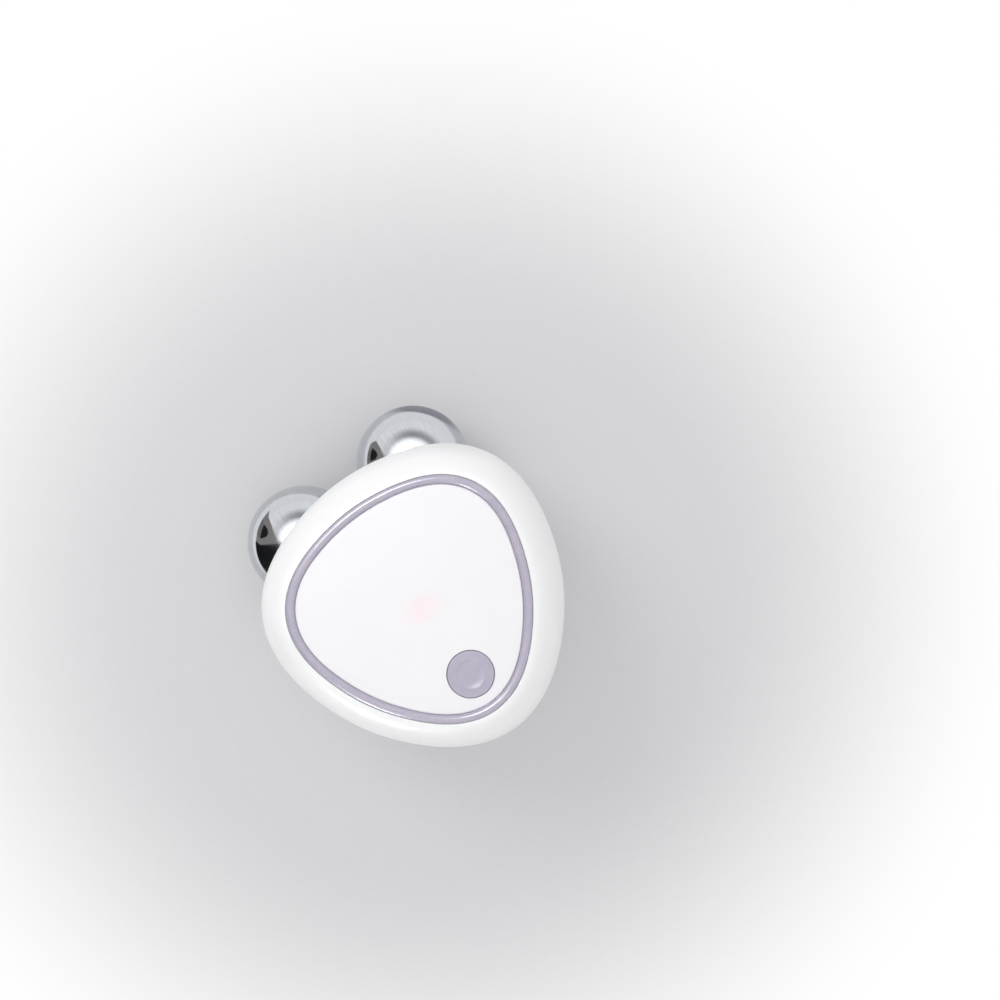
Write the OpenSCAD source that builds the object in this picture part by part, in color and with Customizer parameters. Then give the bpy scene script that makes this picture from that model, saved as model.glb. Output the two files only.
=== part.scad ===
// Facial toning device: a palm-size microcurrent toner with two electrode balls.
// The face looks along +Z, the balls stand at the +Y end and the button sits at the -Y end.
// The origin is on the surface that the belly and the balls rest on, under the body's axis.

/* [Body] */
// Radius of the body's widest section, midway between a corner and a side
body_r = 31.6; // [31.2:0.1:32.4]
// How far the three rounded corners stand out past that radius
lobe = 1.85; // [1.4:0.05:2.1]
// Height of the seam between the shells, which is the widest section
seam_z = 26.5; // [26.3:0.1:27]
// Height of the upper shell's edge beside the trim ring
shoulder_z = 44; // [43.6:0.1:45]
// Radius of the flat pad that the belly rests on
pad_r = 12; // [10:0.5:13]
// How far the belly leans towards the button's end
belly_lean = 4; // [2:0.5:5]
// Thickness of the moulded walls
wall = 2; // [1.8:0.1:2.2]

/* [Face] */
// Outer radius of the trim ring, midway between a corner and a side
ring_r = 24.6; // [24.4:0.05:24.8]
// Width of the trim ring
ring_w = 1.8; // [1.6:0.05:2]
// Height of the ring's bead above the shell's edge
ring_proud = 0.45; // [0.2:0.05:0.6]
// Rise of the face plate from its edge to its middle
face_crown = 0.6; // [0.2:0.1:1]

/* [Button] */
// Diameter of the button's cap
button_d = 9.6; // [8.8:0.1:10]
// Distance of the button from the body's axis
button_y = 17.85; // [17.5:0.05:18]
// How far the button travels
button_travel = 0.3; // [0.2:0.05:0.35]
// Radius of the dish in the button's cap
dish_r = 2.85; // [2:0.05:3.5]

/* [Electrode balls] */
// Diameter of the balls
ball_d = 25; // [24.4:0.1:25.2]
// Distance between the centres of the balls
ball_spread = 29.7; // [29.2:0.1:30.4]
// Distance of the balls' centres from the body's axis
ball_y = 24.9; // [24.6:0.1:25.4]
// Wall of the hollow balls
ball_wall = 1.5; // [1:0.1:2]
// Gap between a ball and its seat
seat_gap = 0.5; // [0.4:0.05:0.6]

/* [Electronics] */
// Height of the circuit board's underside
board_z = 28.4; // [28.2:0.1:28.8]
// Thickness of the circuit board
board_t = 1.6; // [1:0.1:1.6]
// Radius of the circuit board, midway between a corner and a side
board_r = 28; // [27:0.1:28.2]
// Length, width and thickness of the battery cell
battery_size = [30, 22, 6.5];
// Distance of the indicator light from the body's axis
led_y = 1.4; // [0:0.1:3]

/* [Hidden] */

// Facets round the pick outline, and along each quarter of the body's profile
steps = 54;
arc_steps = 8;
// Share of the lobe that sharpens the corners, and the radius from which the lobe is full
lobe_sharp = 0.115;
lobe_full_r = 18;
eps = 0.02;
// How far a cutting tool runs past the surface that it leaves through
over = 1;

// Trim ring, its seat, and the shelf that carries it and the face plate
ring_gap = 0.05;
ring_seat_r = ring_r + ring_gap;
shoulder_w = body_r - ring_seat_r;
shelf_z = shoulder_z - 1.8;
shelf_t = 1.6;
shelf_r = 20.5;
bead_drop = 0.3;
bead_steps = 8;
plate_gap = 0.15;
plate_edge = 0.25;
plate_r = ring_r - ring_w - plate_gap;

// Clips that snap under the shelf: width, thickness, hook, and the slope that leads the hook in
clip_w = 5;
clip_t = 1;
clip_hook = 0.8;
clip_gap = [0.25, 0.1];
clip_lead = 1;

// Lap joint between the shells
lap_h = 1.2;
lap_gap = 0.08;
lap_r = body_r - wall / 2;

// Button, switch and their stack of heights
button_clear = 0.1;
flange_r = button_d / 2 + 0.9;
flange_t = 0.7;
flange_clear = 0.5;
flange_room = 6;
cap_top = shoulder_z + 0.35;
cap_edge = 0.35;
cap_wall = 1.2;
cap_roof = 1.4;
dish_depth = 0.3;
stem_r = 1.6;
board_top = board_z + board_t;
switch_w = 6;
switch_h = 3.5;
switch_leg = [1.2, 0.7, 0.4];
plunger_r = 1.75;
plunger_bevel = 0.3;
plunger_clear = 0.05;
plunger_top = board_top + 7;
plunger_bore_z = board_top + switch_h - 1;
plunger_low = plunger_bore_z + button_travel + 0.05;

// Balls: each is held by a screw that leans back into the body by this angle
ball_r = ball_d / 2;
ball_tilt = 45;
seat_r = ball_r + seat_gap;
seat_wall = 1.6;
gasket_r = 4.6;
ball_boss_r = 4;
ball_boss_in = 7;
ball_bore_r = 2;
gasket_gap = 0.12;
ball_screw_r = 1.95;
screw_pad_r = 5;
screw_pad_d = ball_r + 2.7;
lug_t = 0.6;
lug_r = 3.4;
lug_w = 2;
lug_barrel_r = 1.1;
lug_barrel_l = 2.8;
lug_reach = 7;
ball_head_r = 3.5;
ball_head_h = 2.4;
driver_slot = [4, 0.7, 1.2];
seat_hole_r = 2.2;

// Screws: case screws rise through the towers, board screws rise into bosses under the shelf
case_spots = [[19.6, -4.5], [-19.6, -4.5], [8, -20], [-8, -20]];
board_spots = [[21.3, 12.3], [-21.3, 12.3], [15.6, -15.6], [-15.6, -15.6]];
tower_r = 2.8;
tower_top = seam_z + 0.5;
case_seat_z = 12;
case_screw_r = 1.2;
case_screw_top = 34;
case_head_r = 2.3;
case_head_h = 2;
counter_r = 2.6;
cap_gap = 0.08;
cap_inset = 0.15;
board_boss_r = 2.4;
board_screw_r = 0.95;
board_head_r = 1.9;
board_head_h = 1.4;
board_screw_top = board_top + 4;
bore_clear = 0.06;
screw_pass = 0.2;
board_pass = 0.15;
tower_pass = 0.4;
rib_t = 1.2;
gusset_reach = 1.25;

// Charge port at the button's end: its mouth is open through both shells
port_w = 7.6;
port_h = 2.9;
port_depth = 5.6;
port_mouth_y = -32.3;
port_clear = 0.3;
port_corner = 0.8;
port_recess_w = 11.4;
port_recess_h = 6;
port_recess_corner = 2.4;
socket_t = 0.3;
socket_tongue = [3.4, 0.6];
tongue_back = 0.5;
port_z = board_z - port_h / 2;

// Battery and its cradle on the belly's floor
battery_y = -5;
battery_z = 8;
pad_size = [26, 18, 1];
cradle_gap = 0.3;
cradle_top = 12;
cradle_half = [12, 8, 6];
lead_r = 0.55;
lead_pitch = 2.6;
lead_drop = 1.1;
header_y = 12;
header_size = [7.6, 4.6, 4.6];
plug_size = [6, 3.3, 6];
header_clear = 0.1;
header_floor = 0.6;
pin_pitch = 2;
pin_r = 0.25;

// Sizes of the parts on the board
led_size = [3.5, 2.8, 1.9];
guide_top = [9, 5];
guide_low = [6.4, 5];
guide_gap = [0.2, 0.15];
led_gap = 0.3;
window_t = 1;

// ---- Outline and sweeps ----

// Radius of the rounded triangle at angle a from the button's corner, for a section of radius r
function lobe_at(r) = lobe * min(1, r / lobe_full_r);
function pick_r(r, a) = r + lobe_at(r) * (cos(3 * a) + lobe_sharp * cos(6 * a));
function pick_point(p, a) = let (q = pick_r(p[0], a)) [q * sin(a), -q * cos(a) - p[2], p[1]];

// Section point: radius, height and lean towards the button's end
function section(r, z, lean = 0) = [r, z, lean];

// Solid swept round the outline from a closed loop of section points
module pick_ring(loop) {
    m = len(loop);
    polyhedron(
        points = [for (i = [0:steps - 1]) for (p = loop) pick_point(p, i * 360 / steps)],
        faces = [for (i = [0:steps - 1]) for (j = [0:m - 1])
            let (here = i * m, next = ((i + 1) % steps) * m, k = (j + 1) % m)
            each [[here + j, next + k, next + j], [here + j, here + k, next + k]]],
        convexity = 6);
}

// Solid swept round the outline from a line of section points, closed by a flat face at each end
module pick_turn(line) {
    m = len(line);
    polyhedron(
        points = [for (i = [0:steps - 1]) for (p = line) pick_point(p, i * 360 / steps)],
        faces = concat(
            [[for (i = [0:steps - 1]) i * m], [for (i = [steps - 1:-1:0]) i * m + m - 1]],
            [for (i = [0:steps - 1]) for (j = [0:m - 2])
                let (here = i * m + j, next = ((i + 1) % steps) * m + j)
                each [[here, next + 1, next], [here, here + 1, next + 1]]]),
        convexity = 6);
}

// Lower half of the body's profile, from the pad's edge up to the seam, set in by inset
function bowl_line(inset) = [for (i = [0:arc_steps]) let (t = 90 - 90 * i / arc_steps)
    section(pad_r + (body_r - inset - pad_r) * cos(t),
        seam_z - (seam_z - inset) * sin(t),
        belly_lean * (1 - cos(t)))];

// Upper half of the body's profile, between two heights, set in by inset
function dome_angle(z, inset) = asin((z - seam_z) / (shoulder_z - inset - seam_z));
function dome_line(inset, t0, t1) = [for (i = [0:arc_steps]) let (t = t0 + (t1 - t0) * i / arc_steps)
    section(ring_seat_r - inset + shoulder_w * cos(t),
        seam_z + (shoulder_z - inset - seam_z) * sin(t))];

// The body's whole volume, set in by inset: trims what is moulded inside the shells
module body_core(inset) {
    pick_turn(concat(bowl_line(inset), [for (i = [1:arc_steps]) dome_line(inset, 0, 90)[i]]));
}

// ---- Places that several pieces share ----

module at_ball(side) {
    translate([side * ball_spread / 2, ball_y, ball_r]) rotate([ball_tilt, 0, 0]) children();
}

module at_spots(spots) {
    for (s = spots) translate([s[0], s[1], 0]) children();
}

module at_button() {
    translate([0, -button_y, 0]) children();
}

// Bar with round ends between two points on plan, from z0 to z1
module rib(a, b, z0, z1) {
    hull() for (p = [a, b]) translate([p[0], p[1], z0]) cylinder(d = rib_t, h = z1 - z0, $fn = 8);
}

// Gusset that ties a boss to the wall outside it
module gusset(spot, z0, z1) {
    rib(spot, spot * gusset_reach, z0, z1);
}

// Block with its edges along Y rounded: width, height, corner radius and length
module slot_block(w, h, r, y0, y1) {
    translate([0, y1, port_z]) rotate([90, 0, 0]) linear_extrude(y1 - y0)
        hull() for (x = [-1, 1], z = [-1, 1])
            translate([x * (w / 2 - r), z * (h / 2 - r)]) circle(r, $fn = 24);
}

module port_cut() {
    front = -body_r - 2 * lobe - over;
    slot_block(port_w + 2 * port_clear, port_h + 2 * port_clear, port_corner, front,
        port_mouth_y + port_depth + over);
    slot_block(port_recess_w, port_recess_h, port_recess_corner, front, port_mouth_y);
}

// Pocket that a ball sits in: a dome over a straight well, so it draws from the mould
module ball_well(r, facets) {
    for (side = [-1, 1]) translate([side * ball_spread / 2, ball_y, ball_r]) {
        sphere(r, $fn = facets);
        translate([0, 0, -ball_r - 5]) cylinder(r = r, h = ball_r + 5, $fn = facets);
    }
}

// The room that the wells' walls may fill: above the seam they stay inside the upper shell's wall
module well_room() {
    body_core(wall + lap_gap);
    intersection() {
        body_core(wall / 2);
        translate([0, 0, seam_z / 2]) cube([4 * body_r, 4 * body_r, seam_z], center = true);
    }
}

// ---- Shells ----

module upper_shell() {
    loop = concat(
        dome_line(0, 0, 90),
        [section(ring_seat_r, shelf_z), section(shelf_r, shelf_z), section(shelf_r, shelf_z - shelf_t)],
        dome_line(wall, dome_angle(shelf_z - shelf_t, wall), dome_angle(seam_z + lap_h + lap_gap, wall)),
        [section(lap_r + lap_gap, seam_z + lap_h + lap_gap), section(lap_r + lap_gap, seam_z)]);
    color("white") difference() {
        union() {
            pick_ring(loop);
            intersection() {
                body_core(wall / 2);
                union() {
                    at_spots(case_spots)
                        translate([0, 0, tower_top])
                            cylinder(r = tower_r, h = shelf_z - eps - tower_top, $fn = 24);
                    at_spots(board_spots)
                        translate([0, 0, board_top])
                            cylinder(r = board_boss_r, h = shelf_z - eps - board_top, $fn = 24);
                    for (s = concat(case_spots, board_spots)) gusset(s, board_top + 1, shelf_z - eps);
                }
            }
        }
        at_spots(case_spots)
            translate([0, 0, tower_top - over])
                cylinder(r = case_screw_r + bore_clear, h = case_screw_top - tower_top + 2 * over, $fn = 20);
        at_spots(board_spots)
            translate([0, 0, board_top - over])
                cylinder(r = board_screw_r + bore_clear, h = board_screw_top - board_top + 2 * over, $fn = 20);
        at_button() translate([0, 0, shelf_z - shelf_t - flange_room])
            cylinder(r = flange_r + flange_clear, h = shelf_t + flange_room + eps, $fn = 48);
        port_cut();
    }
}

module cradle() {
    x = battery_size[0] / 2 + cradle_gap + rib_t / 2;
    y = battery_size[1] / 2 + cradle_gap + rib_t / 2;
    for (side = [-1, 1]) translate([0, battery_y, 0]) {
        rib([side * x, -cradle_half[2]], [side * x, cradle_half[2]], 0, cradle_top);
        rib([-cradle_half[1], side * y], [cradle_half[1], side * y], 0, cradle_top);
    }
    for (k = [-1:1]) translate([0, battery_y + k * cradle_half[2], 0])
        rib([-cradle_half[0], 0], [cradle_half[0], 0], 0, battery_z - pad_size[2]);
}

module lower_shell() {
    line = concat(
        bowl_line(0),
        [section(lap_r, seam_z), section(lap_r, seam_z + lap_h), section(body_r - wall, seam_z + lap_h)],
        [for (i = [0:arc_steps]) bowl_line(wall)[arc_steps - i]]);
    color("white") difference() {
        union() {
            pick_turn(line);
            intersection() {
                body_core(wall / 2);
                union() {
                    at_spots(case_spots) cylinder(r = tower_r, h = tower_top, $fn = 24);
                    for (s = case_spots) gusset(s, 0, seam_z - 4);
                    cradle();
                }
            }
            intersection() {
                well_room();
                union() {
                    ball_well(seat_r + seat_wall, 24);
                    for (side = [-1, 1]) at_ball(side) cylinder(r = screw_pad_r, h = screw_pad_d, $fn = 24);
                }
            }
        }
        ball_well(seat_r, 32);
        for (side = [-1, 1]) at_ball(side) cylinder(r = seat_hole_r, h = screw_pad_d + over, $fn = 24);
        at_spots(case_spots) {
            translate([0, 0, -over]) cylinder(r = counter_r, h = case_seat_z + over, $fn = 32);
            cylinder(r = case_screw_r + screw_pass, h = tower_top + over, $fn = 20);
        }
        port_cut();
    }
}

// ---- Face ----

module trim_ring() {
    base_z = shoulder_z - bead_drop;
    mid_r = ring_r - ring_w / 2;
    loop = concat(
        [section(mid_r - ring_w / 2, shelf_z), section(mid_r + ring_w / 2, shelf_z)],
        [for (i = [0:bead_steps]) let (t = 180 * i / bead_steps)
            section(mid_r + ring_w / 2 * cos(t), base_z + (bead_drop + ring_proud) * sin(t))]);
    color("#bcb8ca") pick_ring(loop);
}

module clip() {
    reach = pick_r(shelf_r, 60) - clip_gap[0];
    hook_z = shelf_z - shelf_t - clip_gap[1];
    tip_z = hook_z - clip_lead + clip_gap[1];
    rotate([90, 0, 90]) translate([0, 0, -clip_w / 2]) linear_extrude(clip_w)
        polygon([[reach, shelf_z + eps], [reach - clip_t, shelf_z + eps], [reach - clip_t, tip_z],
            [reach, tip_z], [reach + clip_hook, hook_z], [reach, hook_z]]);
}

module face_plate() {
    line = concat(
        [section(plate_r, shelf_z)],
        [for (t = [0, 45, 90]) section(plate_r - plate_edge * (1 - cos(t)),
            shoulder_z - plate_edge * (1 - sin(t)))],
        [for (k = [0.75, 0.5, 0.25, 0.05]) section(plate_r * k, shoulder_z + face_crown * (1 - k * k))]);
    color("#fafafc") difference() {
        union() {
            pick_turn(line);
            for (a = [60, 180, 300]) rotate([0, 0, a - 90]) rotate([0, 0, -90]) clip();
        }
        at_button() translate([0, 0, shelf_z - over])
            cylinder(d = button_d + 2 * button_clear, h = shoulder_z + face_crown - shelf_z + 2 * over, $fn = 96);
        translate([0, -led_y, shelf_z])
            cube([guide_top[0] + 2 * guide_gap[0], guide_top[1] + 2 * guide_gap[0],
                2 * (shoulder_z + face_crown - window_t - shelf_z)], center = true);
    }
}

module light_guide() {
    top_z = shoulder_z + face_crown - window_t - guide_gap[1];
    color("#f4e6ec") translate([0, -led_y, 0]) difference() {
        hull() {
            translate([0, 0, board_top + 0.5]) cube([guide_low[0], guide_low[1], 1], center = true);
            translate([0, 0, top_z - 0.5]) cube([guide_top[0], guide_top[1], 1], center = true);
        }
        translate([0, 0, board_top])
            cube([led_size[0] + 2 * led_gap, led_size[1] + 2 * led_gap, 2 * (led_size[2] + led_gap)],
                center = true);
    }
}

module indicator_led() {
    color("#ffb0c0") translate([-led_size[0] / 2, -led_y - led_size[1] / 2, board_top]) cube(led_size);
}

// ---- Button and switch ----

module power_button() {
    cap_r = button_d / 2;
    flange_top = shelf_z;
    flange_low = flange_top - flange_t;
    hollow_r = cap_r - cap_wall;
    hollow_z = cap_top - cap_roof;
    color("#b8b2c4") at_button() rotate_extrude($fn = 96)
        polygon(concat(
            [[0, plunger_top], [stem_r, plunger_top], [stem_r, hollow_z], [hollow_r, hollow_z],
                [hollow_r, flange_low], [flange_r, flange_low], [flange_r, flange_top], [cap_r, flange_top]],
            [for (t = [0:22.5:90]) [cap_r - cap_edge * (1 - cos(t)), cap_top - cap_edge * (1 - sin(t))]],
            [for (k = [1:-0.2:0]) [dish_r * k, cap_top - dish_depth * (1 - k * k)]]));
}

module switch_plunger() {
    color("#303030") at_button() rotate_extrude($fn = 48)
        polygon([[0, plunger_low], [plunger_r, plunger_low], [plunger_r, plunger_top - plunger_bevel],
            [plunger_r - plunger_bevel, plunger_top], [0, plunger_top]]);
}

module switch_body() {
    color("#404040") at_button() difference() {
        union() {
            translate([-switch_w / 2, -switch_w / 2, board_top]) cube([switch_w, switch_w, switch_h]);
            for (x = [-1, 1], y = [-1, 1])
                translate([(x * (switch_w + switch_leg[0]) - switch_leg[0]) / 2,
                    y * switch_w / 3 - switch_leg[1] / 2, board_top]) cube(switch_leg);
        }
        translate([0, 0, plunger_bore_z])
            cylinder(r = plunger_r + plunger_clear, h = switch_h, $fn = 48);
    }
}

// ---- Electrode balls ----

module ball(side) {
    bore_low = ball_r - ball_boss_in;
    color("silver") at_ball(side) difference() {
        union() {
            difference() {
                sphere(ball_r, $fn = 96);
                sphere(ball_r - ball_wall, $fn = 96);
            }
            translate([0, 0, bore_low]) cylinder(r = ball_boss_r, h = ball_boss_in - ball_wall, $fn = 48);
        }
        translate([0, 0, bore_low - over]) cylinder(r = ball_bore_r, h = ball_boss_in + 2 * over, $fn = 48);
    }
}

module ball_gaskets() {
    color("#8c8c94") for (side = [-1, 1]) at_ball(side) difference() {
        intersection() {
            sphere(seat_r - gasket_gap, $fn = 96);
            cylinder(r = gasket_r, h = seat_r, $fn = 48);
        }
        sphere(ball_r, $fn = 96);
        cylinder(r = seat_hole_r, h = seat_r + over, $fn = 48);
    }
}

module ball_screws() {
    tip = ball_r - ball_boss_in + 0.5;
    under = screw_pad_d + lug_t;
    color("silver") for (side = [-1, 1]) at_ball(side) difference() {
        union() {
            translate([0, 0, tip]) cylinder(r = ball_screw_r, h = under - tip, $fn = 48);
            translate([0, 0, under]) cylinder(r = ball_head_r, h = ball_head_h, $fn = 48);
        }
        for (a = [0, 90]) rotate([0, 0, a])
            translate([-driver_slot[0] / 2, -driver_slot[1] / 2, under + ball_head_h - driver_slot[2]])
                cube(driver_slot + [0, 0, over]);
    }
}

module ball_lugs() {
    color("gold") for (side = [-1, 1]) at_ball(side) difference() {
        union() {
            translate([0, 0, screw_pad_d]) cylinder(r = lug_r, h = lug_t, $fn = 48);
            translate([-side * lug_reach / 2, 0, screw_pad_d + lug_t / 2])
                cube([lug_reach, lug_w, lug_t], center = true);
            translate([-side * lug_reach, 0, screw_pad_d + lug_barrel_r]) rotate([0, side * 90, 0])
                cylinder(r = lug_barrel_r, h = lug_barrel_l, $fn = 32);
        }
        translate([0, 0, screw_pad_d - over]) cylinder(r = seat_hole_r, h = lug_t + 2 * over, $fn = 48);
    }
}

// ---- Wires ----

function bezier(p, t) = pow(1 - t, 3) * p[0] + 3 * t * pow(1 - t, 2) * p[1]
    + 3 * t * t * (1 - t) * p[2] + pow(t, 3) * p[3];
function bezier_way(p, t) = (1 - t) * (1 - t) * (p[1] - p[0]) + 2 * t * (1 - t) * (p[2] - p[1])
    + t * t * (p[3] - p[2]);
function unit(v) = v / norm(v);

// Round wire along one Bezier curve; across is any direction that the curve never follows
module wire(p, r, across, rings = 12, sides = 8) {
    polyhedron(
        points = [for (i = [0:rings]) let (t = i / rings, c = bezier(p, t), w = unit(bezier_way(p, t)),
            u = unit(cross(w, across)), v = cross(w, u))
            for (k = [0:sides - 1]) c + r * (cos(k * 360 / sides) * u + sin(k * 360 / sides) * v)],
        faces = concat(
            [[for (k = [0:sides - 1]) k]],
            [for (i = [0:rings - 1]) for (k = [0:sides - 1])
                let (a = i * sides + k, b = i * sides + (k + 1) % sides)
                each [[a, a + sides, b + sides], [a, b + sides, b]]],
            [[for (k = [sides - 1:-1:0]) rings * sides + k]]));
}

module electrode_leads() {
    out = screw_pad_d + lug_barrel_r;
    start = [ball_spread / 2 - lug_reach, ball_y - out * sin(ball_tilt), ball_r + out * cos(ball_tilt)];
    foot = [5.8, 6, board_z];
    color("#e8e8ea") for (side = [-1, 1])
        mirror([side < 0 ? 1 : 0, 0, 0])
            wire([start, start - [2.4, 0, 0], foot - [0, 0, 3.6], foot], lead_r, [1, -1, 0]);
}

module battery_lead(side) {
    start = [side * lead_pitch / 2, battery_y + battery_size[1] / 2, battery_z + battery_size[2] - lead_drop];
    foot = [side * lead_pitch / 2, header_y, board_z - header_floor - plug_size[2]];
    wire([start, start + [0, 5, 0], foot - [0, 0, 5.6], foot], lead_r, [1, 0, 0]);
}

module lead_red() {
    color("#c03030") battery_lead(1);
}

module lead_black() {
    color("#202020") battery_lead(-1);
}

// ---- Board and what stands on it ----

module circuit_board() {
    color("#1d6b46") translate([0, 0, board_z]) linear_extrude(board_t) difference() {
        polygon([for (i = [0:steps - 1]) let (p = pick_point(section(board_r, 0), i * 360 / steps))
            [p[0], p[1]]]);
        at_spots(case_spots) circle(tower_r + tower_pass, $fn = 48);
        at_spots(board_spots) circle(board_screw_r + board_pass, $fn = 48);
    }
}

module board_screws() {
    color("silver") at_spots(board_spots) {
        translate([0, 0, board_z - board_head_h]) cylinder(r = board_head_r, h = board_head_h, $fn = 48);
        translate([0, 0, board_z]) cylinder(r = board_screw_r, h = board_screw_top - board_z, $fn = 48);
    }
}

module case_screws() {
    color("silver") at_spots(case_spots) {
        translate([0, 0, case_seat_z - case_head_h]) cylinder(r = case_head_r, h = case_head_h, $fn = 48);
        translate([0, 0, case_seat_z]) cylinder(r = case_screw_r, h = case_screw_top - case_seat_z, $fn = 48);
    }
}

// Plugs that close the screw holes, each cut to the belly's curve
module screw_caps() {
    color("#f2f2f4") intersection() {
        pick_turn([for (i = [0:5]) bowl_line(cap_inset)[i]]);
        at_spots(case_spots) cylinder(r = counter_r - cap_gap, h = case_seat_z - case_head_h, $fn = 48);
    }
}

module charge_socket() {
    color("silver") translate([0, port_mouth_y, port_z]) rotate([90, 0, 180]) {
        difference() {
            linear_extrude(port_depth) socket_outline(0);
            translate([0, 0, -over]) linear_extrude(port_depth + over - socket_t) socket_outline(socket_t);
        }
        translate([-socket_tongue[0] / 2, -socket_tongue[1] / 2, tongue_back])
            cube([socket_tongue[0], socket_tongue[1], port_depth - tongue_back - socket_t / 2]);
    }
}

module socket_outline(inset) {
    w = port_w / 2 - inset;
    h = port_h / 2 - inset;
    polygon([[-w, h], [w, h], [w, -h * 0.1], [w - 1, -h], [1 - w, -h], [-w, -h * 0.1]]);
}

module battery_cell() {
    color("#c8ccd2") translate([0, battery_y, battery_z]) linear_extrude(battery_size[2])
        hull() for (x = [-1, 1], y = [-1, 1])
            translate([x * (battery_size[0] / 2 - 1.5), y * (battery_size[1] / 2 - 1.5)]) circle(1.5, $fn = 24);
}

module battery_pad() {
    color("#3a3a3c") translate([-pad_size[0] / 2, battery_y - pad_size[1] / 2, battery_z - pad_size[2]])
        cube(pad_size);
}

module battery_header() {
    color("#f0ead8") translate([0, header_y, board_z - header_size[2]]) {
        difference() {
            translate([-header_size[0] / 2, -header_size[1] / 2, 0]) cube(header_size);
            translate([-plug_size[0] / 2 - header_clear, -plug_size[1] / 2 - header_clear, -over])
                cube([plug_size[0] + 2 * header_clear, plug_size[1] + 2 * header_clear,
                    header_size[2] + over - header_floor]);
        }
        for (side = [-1, 1]) translate([side * pin_pitch / 2, 0, 1.2])
            cylinder(r = pin_r, h = header_size[2] - 1.2, $fn = 16);
    }
}

module battery_plug() {
    color("#faf6ea") translate([0, header_y, board_z - header_floor - plug_size[2]]) difference() {
        translate([-plug_size[0] / 2, -plug_size[1] / 2, 0]) cube(plug_size);
        for (side = [-1, 1]) translate([side * pin_pitch / 2, 0, 1.5])
            cylinder(r = pin_r + 0.15, h = plug_size[2], $fn = 24);
    }
}

module on_board(x, y, size) {
    translate([x - size[0] / 2, y - size[1] / 2, board_top]) cube(size);
}

module control_chip() {
    color("#2a2a2c") on_board(-10, -6, [7, 7, 1.2]);
}

module driver_chip() {
    color("#2a2a2c") on_board(10, -7, [5, 4, 1.5]);
}

module charge_chip() {
    color("#2a2a2c") on_board(6.5, -25.5, [3, 1.7, 1.1]);
}

module boost_inductor() {
    color("#505055") translate([11, 7, board_top]) difference() {
        cylinder(r = 3, h = 3, $fn = 48);
        difference() {
            translate([0, 0, 0.6]) cylinder(r = 4, h = 1.8, $fn = 48);
            cylinder(r = 2.3, h = 4, $fn = 48);
        }
    }
}

module capacitors() {
    color("#c0a070") for (i = [0:3]) on_board(-12 + 4 * i, 8, [1.6, 3.2, 1.6]);
}

upper_shell();
lower_shell();
trim_ring();
face_plate();
power_button();
switch_plunger();
switch_body();
ball(-1);  // ball_left
ball(1);  // ball_right
ball_gaskets();
ball_screws();
ball_lugs();
electrode_leads();
circuit_board();
board_screws();
case_screws();
screw_caps();
charge_socket();
battery_cell();
battery_pad();
lead_red();
lead_black();
battery_plug();
battery_header();
control_chip();
driver_chip();
charge_chip();
boost_inductor();
capacitors();
indicator_led();
light_guide();
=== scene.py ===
import math
from collections import namedtuple
from functools import reduce

import bmesh
import bpy
import numpy as np
from bpy.props import FloatProperty, FloatVectorProperty, IntProperty, PointerProperty
from mathutils import Euler, Matrix, Vector


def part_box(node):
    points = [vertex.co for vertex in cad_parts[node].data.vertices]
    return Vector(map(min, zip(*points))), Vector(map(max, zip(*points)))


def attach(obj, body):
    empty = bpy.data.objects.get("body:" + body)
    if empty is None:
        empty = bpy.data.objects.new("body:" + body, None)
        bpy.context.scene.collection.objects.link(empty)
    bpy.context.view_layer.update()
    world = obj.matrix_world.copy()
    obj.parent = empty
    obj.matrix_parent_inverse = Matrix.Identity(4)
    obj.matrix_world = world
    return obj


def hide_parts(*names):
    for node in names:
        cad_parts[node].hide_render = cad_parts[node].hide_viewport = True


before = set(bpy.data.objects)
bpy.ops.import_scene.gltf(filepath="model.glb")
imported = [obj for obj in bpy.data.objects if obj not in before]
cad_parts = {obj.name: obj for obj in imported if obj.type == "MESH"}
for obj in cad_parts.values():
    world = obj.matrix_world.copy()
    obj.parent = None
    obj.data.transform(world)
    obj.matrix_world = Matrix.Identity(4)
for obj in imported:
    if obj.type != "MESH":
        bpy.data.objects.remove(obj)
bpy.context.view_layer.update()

bl_info = {
    "name": "Facial toner",
    "version": (1, 0, 0),
    "blender": (4, 5, 0),
    "location": "3D View > Sidebar > Toner",
    "description": "Shells, face, button, electrode balls and inner parts of a palm-size facial toner",
    "category": "Add Mesh",
}

MM = 0.001
NEAR = 0.01 * MM  # places closer than this count as the same

# ---- What the frame gives ----

def node_points(node):
    """Corners of a CAD node's mesh."""
    return np.array([v.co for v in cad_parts[node].data.vertices])


SHELL_LOW, SHELL_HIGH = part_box("upper_shell")
RING_LOW, RING_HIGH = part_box("trim_ring")
PLATE_LOW, PLATE_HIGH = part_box("face_plate")
BUTTON_LOW, BUTTON_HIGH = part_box("power_button")
BALL_LOW, BALL_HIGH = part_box("ball_right")
GUIDE_LOW, GUIDE_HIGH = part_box("light_guide")
SOCKET_LOW, SOCKET_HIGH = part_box("charge_socket")
BOARD_LOW, BOARD_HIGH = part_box("circuit_board")
CELL_LOW, CELL_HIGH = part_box("battery_cell")
PAD_LOW, PAD_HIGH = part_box("battery_pad")
CAPS_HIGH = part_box("screw_caps")[1]

SEAM_Z = SHELL_LOW.z
SHOULDER_Z = SHELL_HIGH.z
SHELF_Z = RING_LOW.z
LAP_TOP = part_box("lower_shell")[1].z
BALL_R = (BALL_HIGH.z - BALL_LOW.z) / 2
BALL_PLACE = (BALL_LOW + BALL_HIGH) / 2
BUTTON_PLACE = (BUTTON_LOW + BUTTON_HIGH) / 2
GUIDE_PLACE = (GUIDE_LOW + GUIDE_HIGH) / 2

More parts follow.
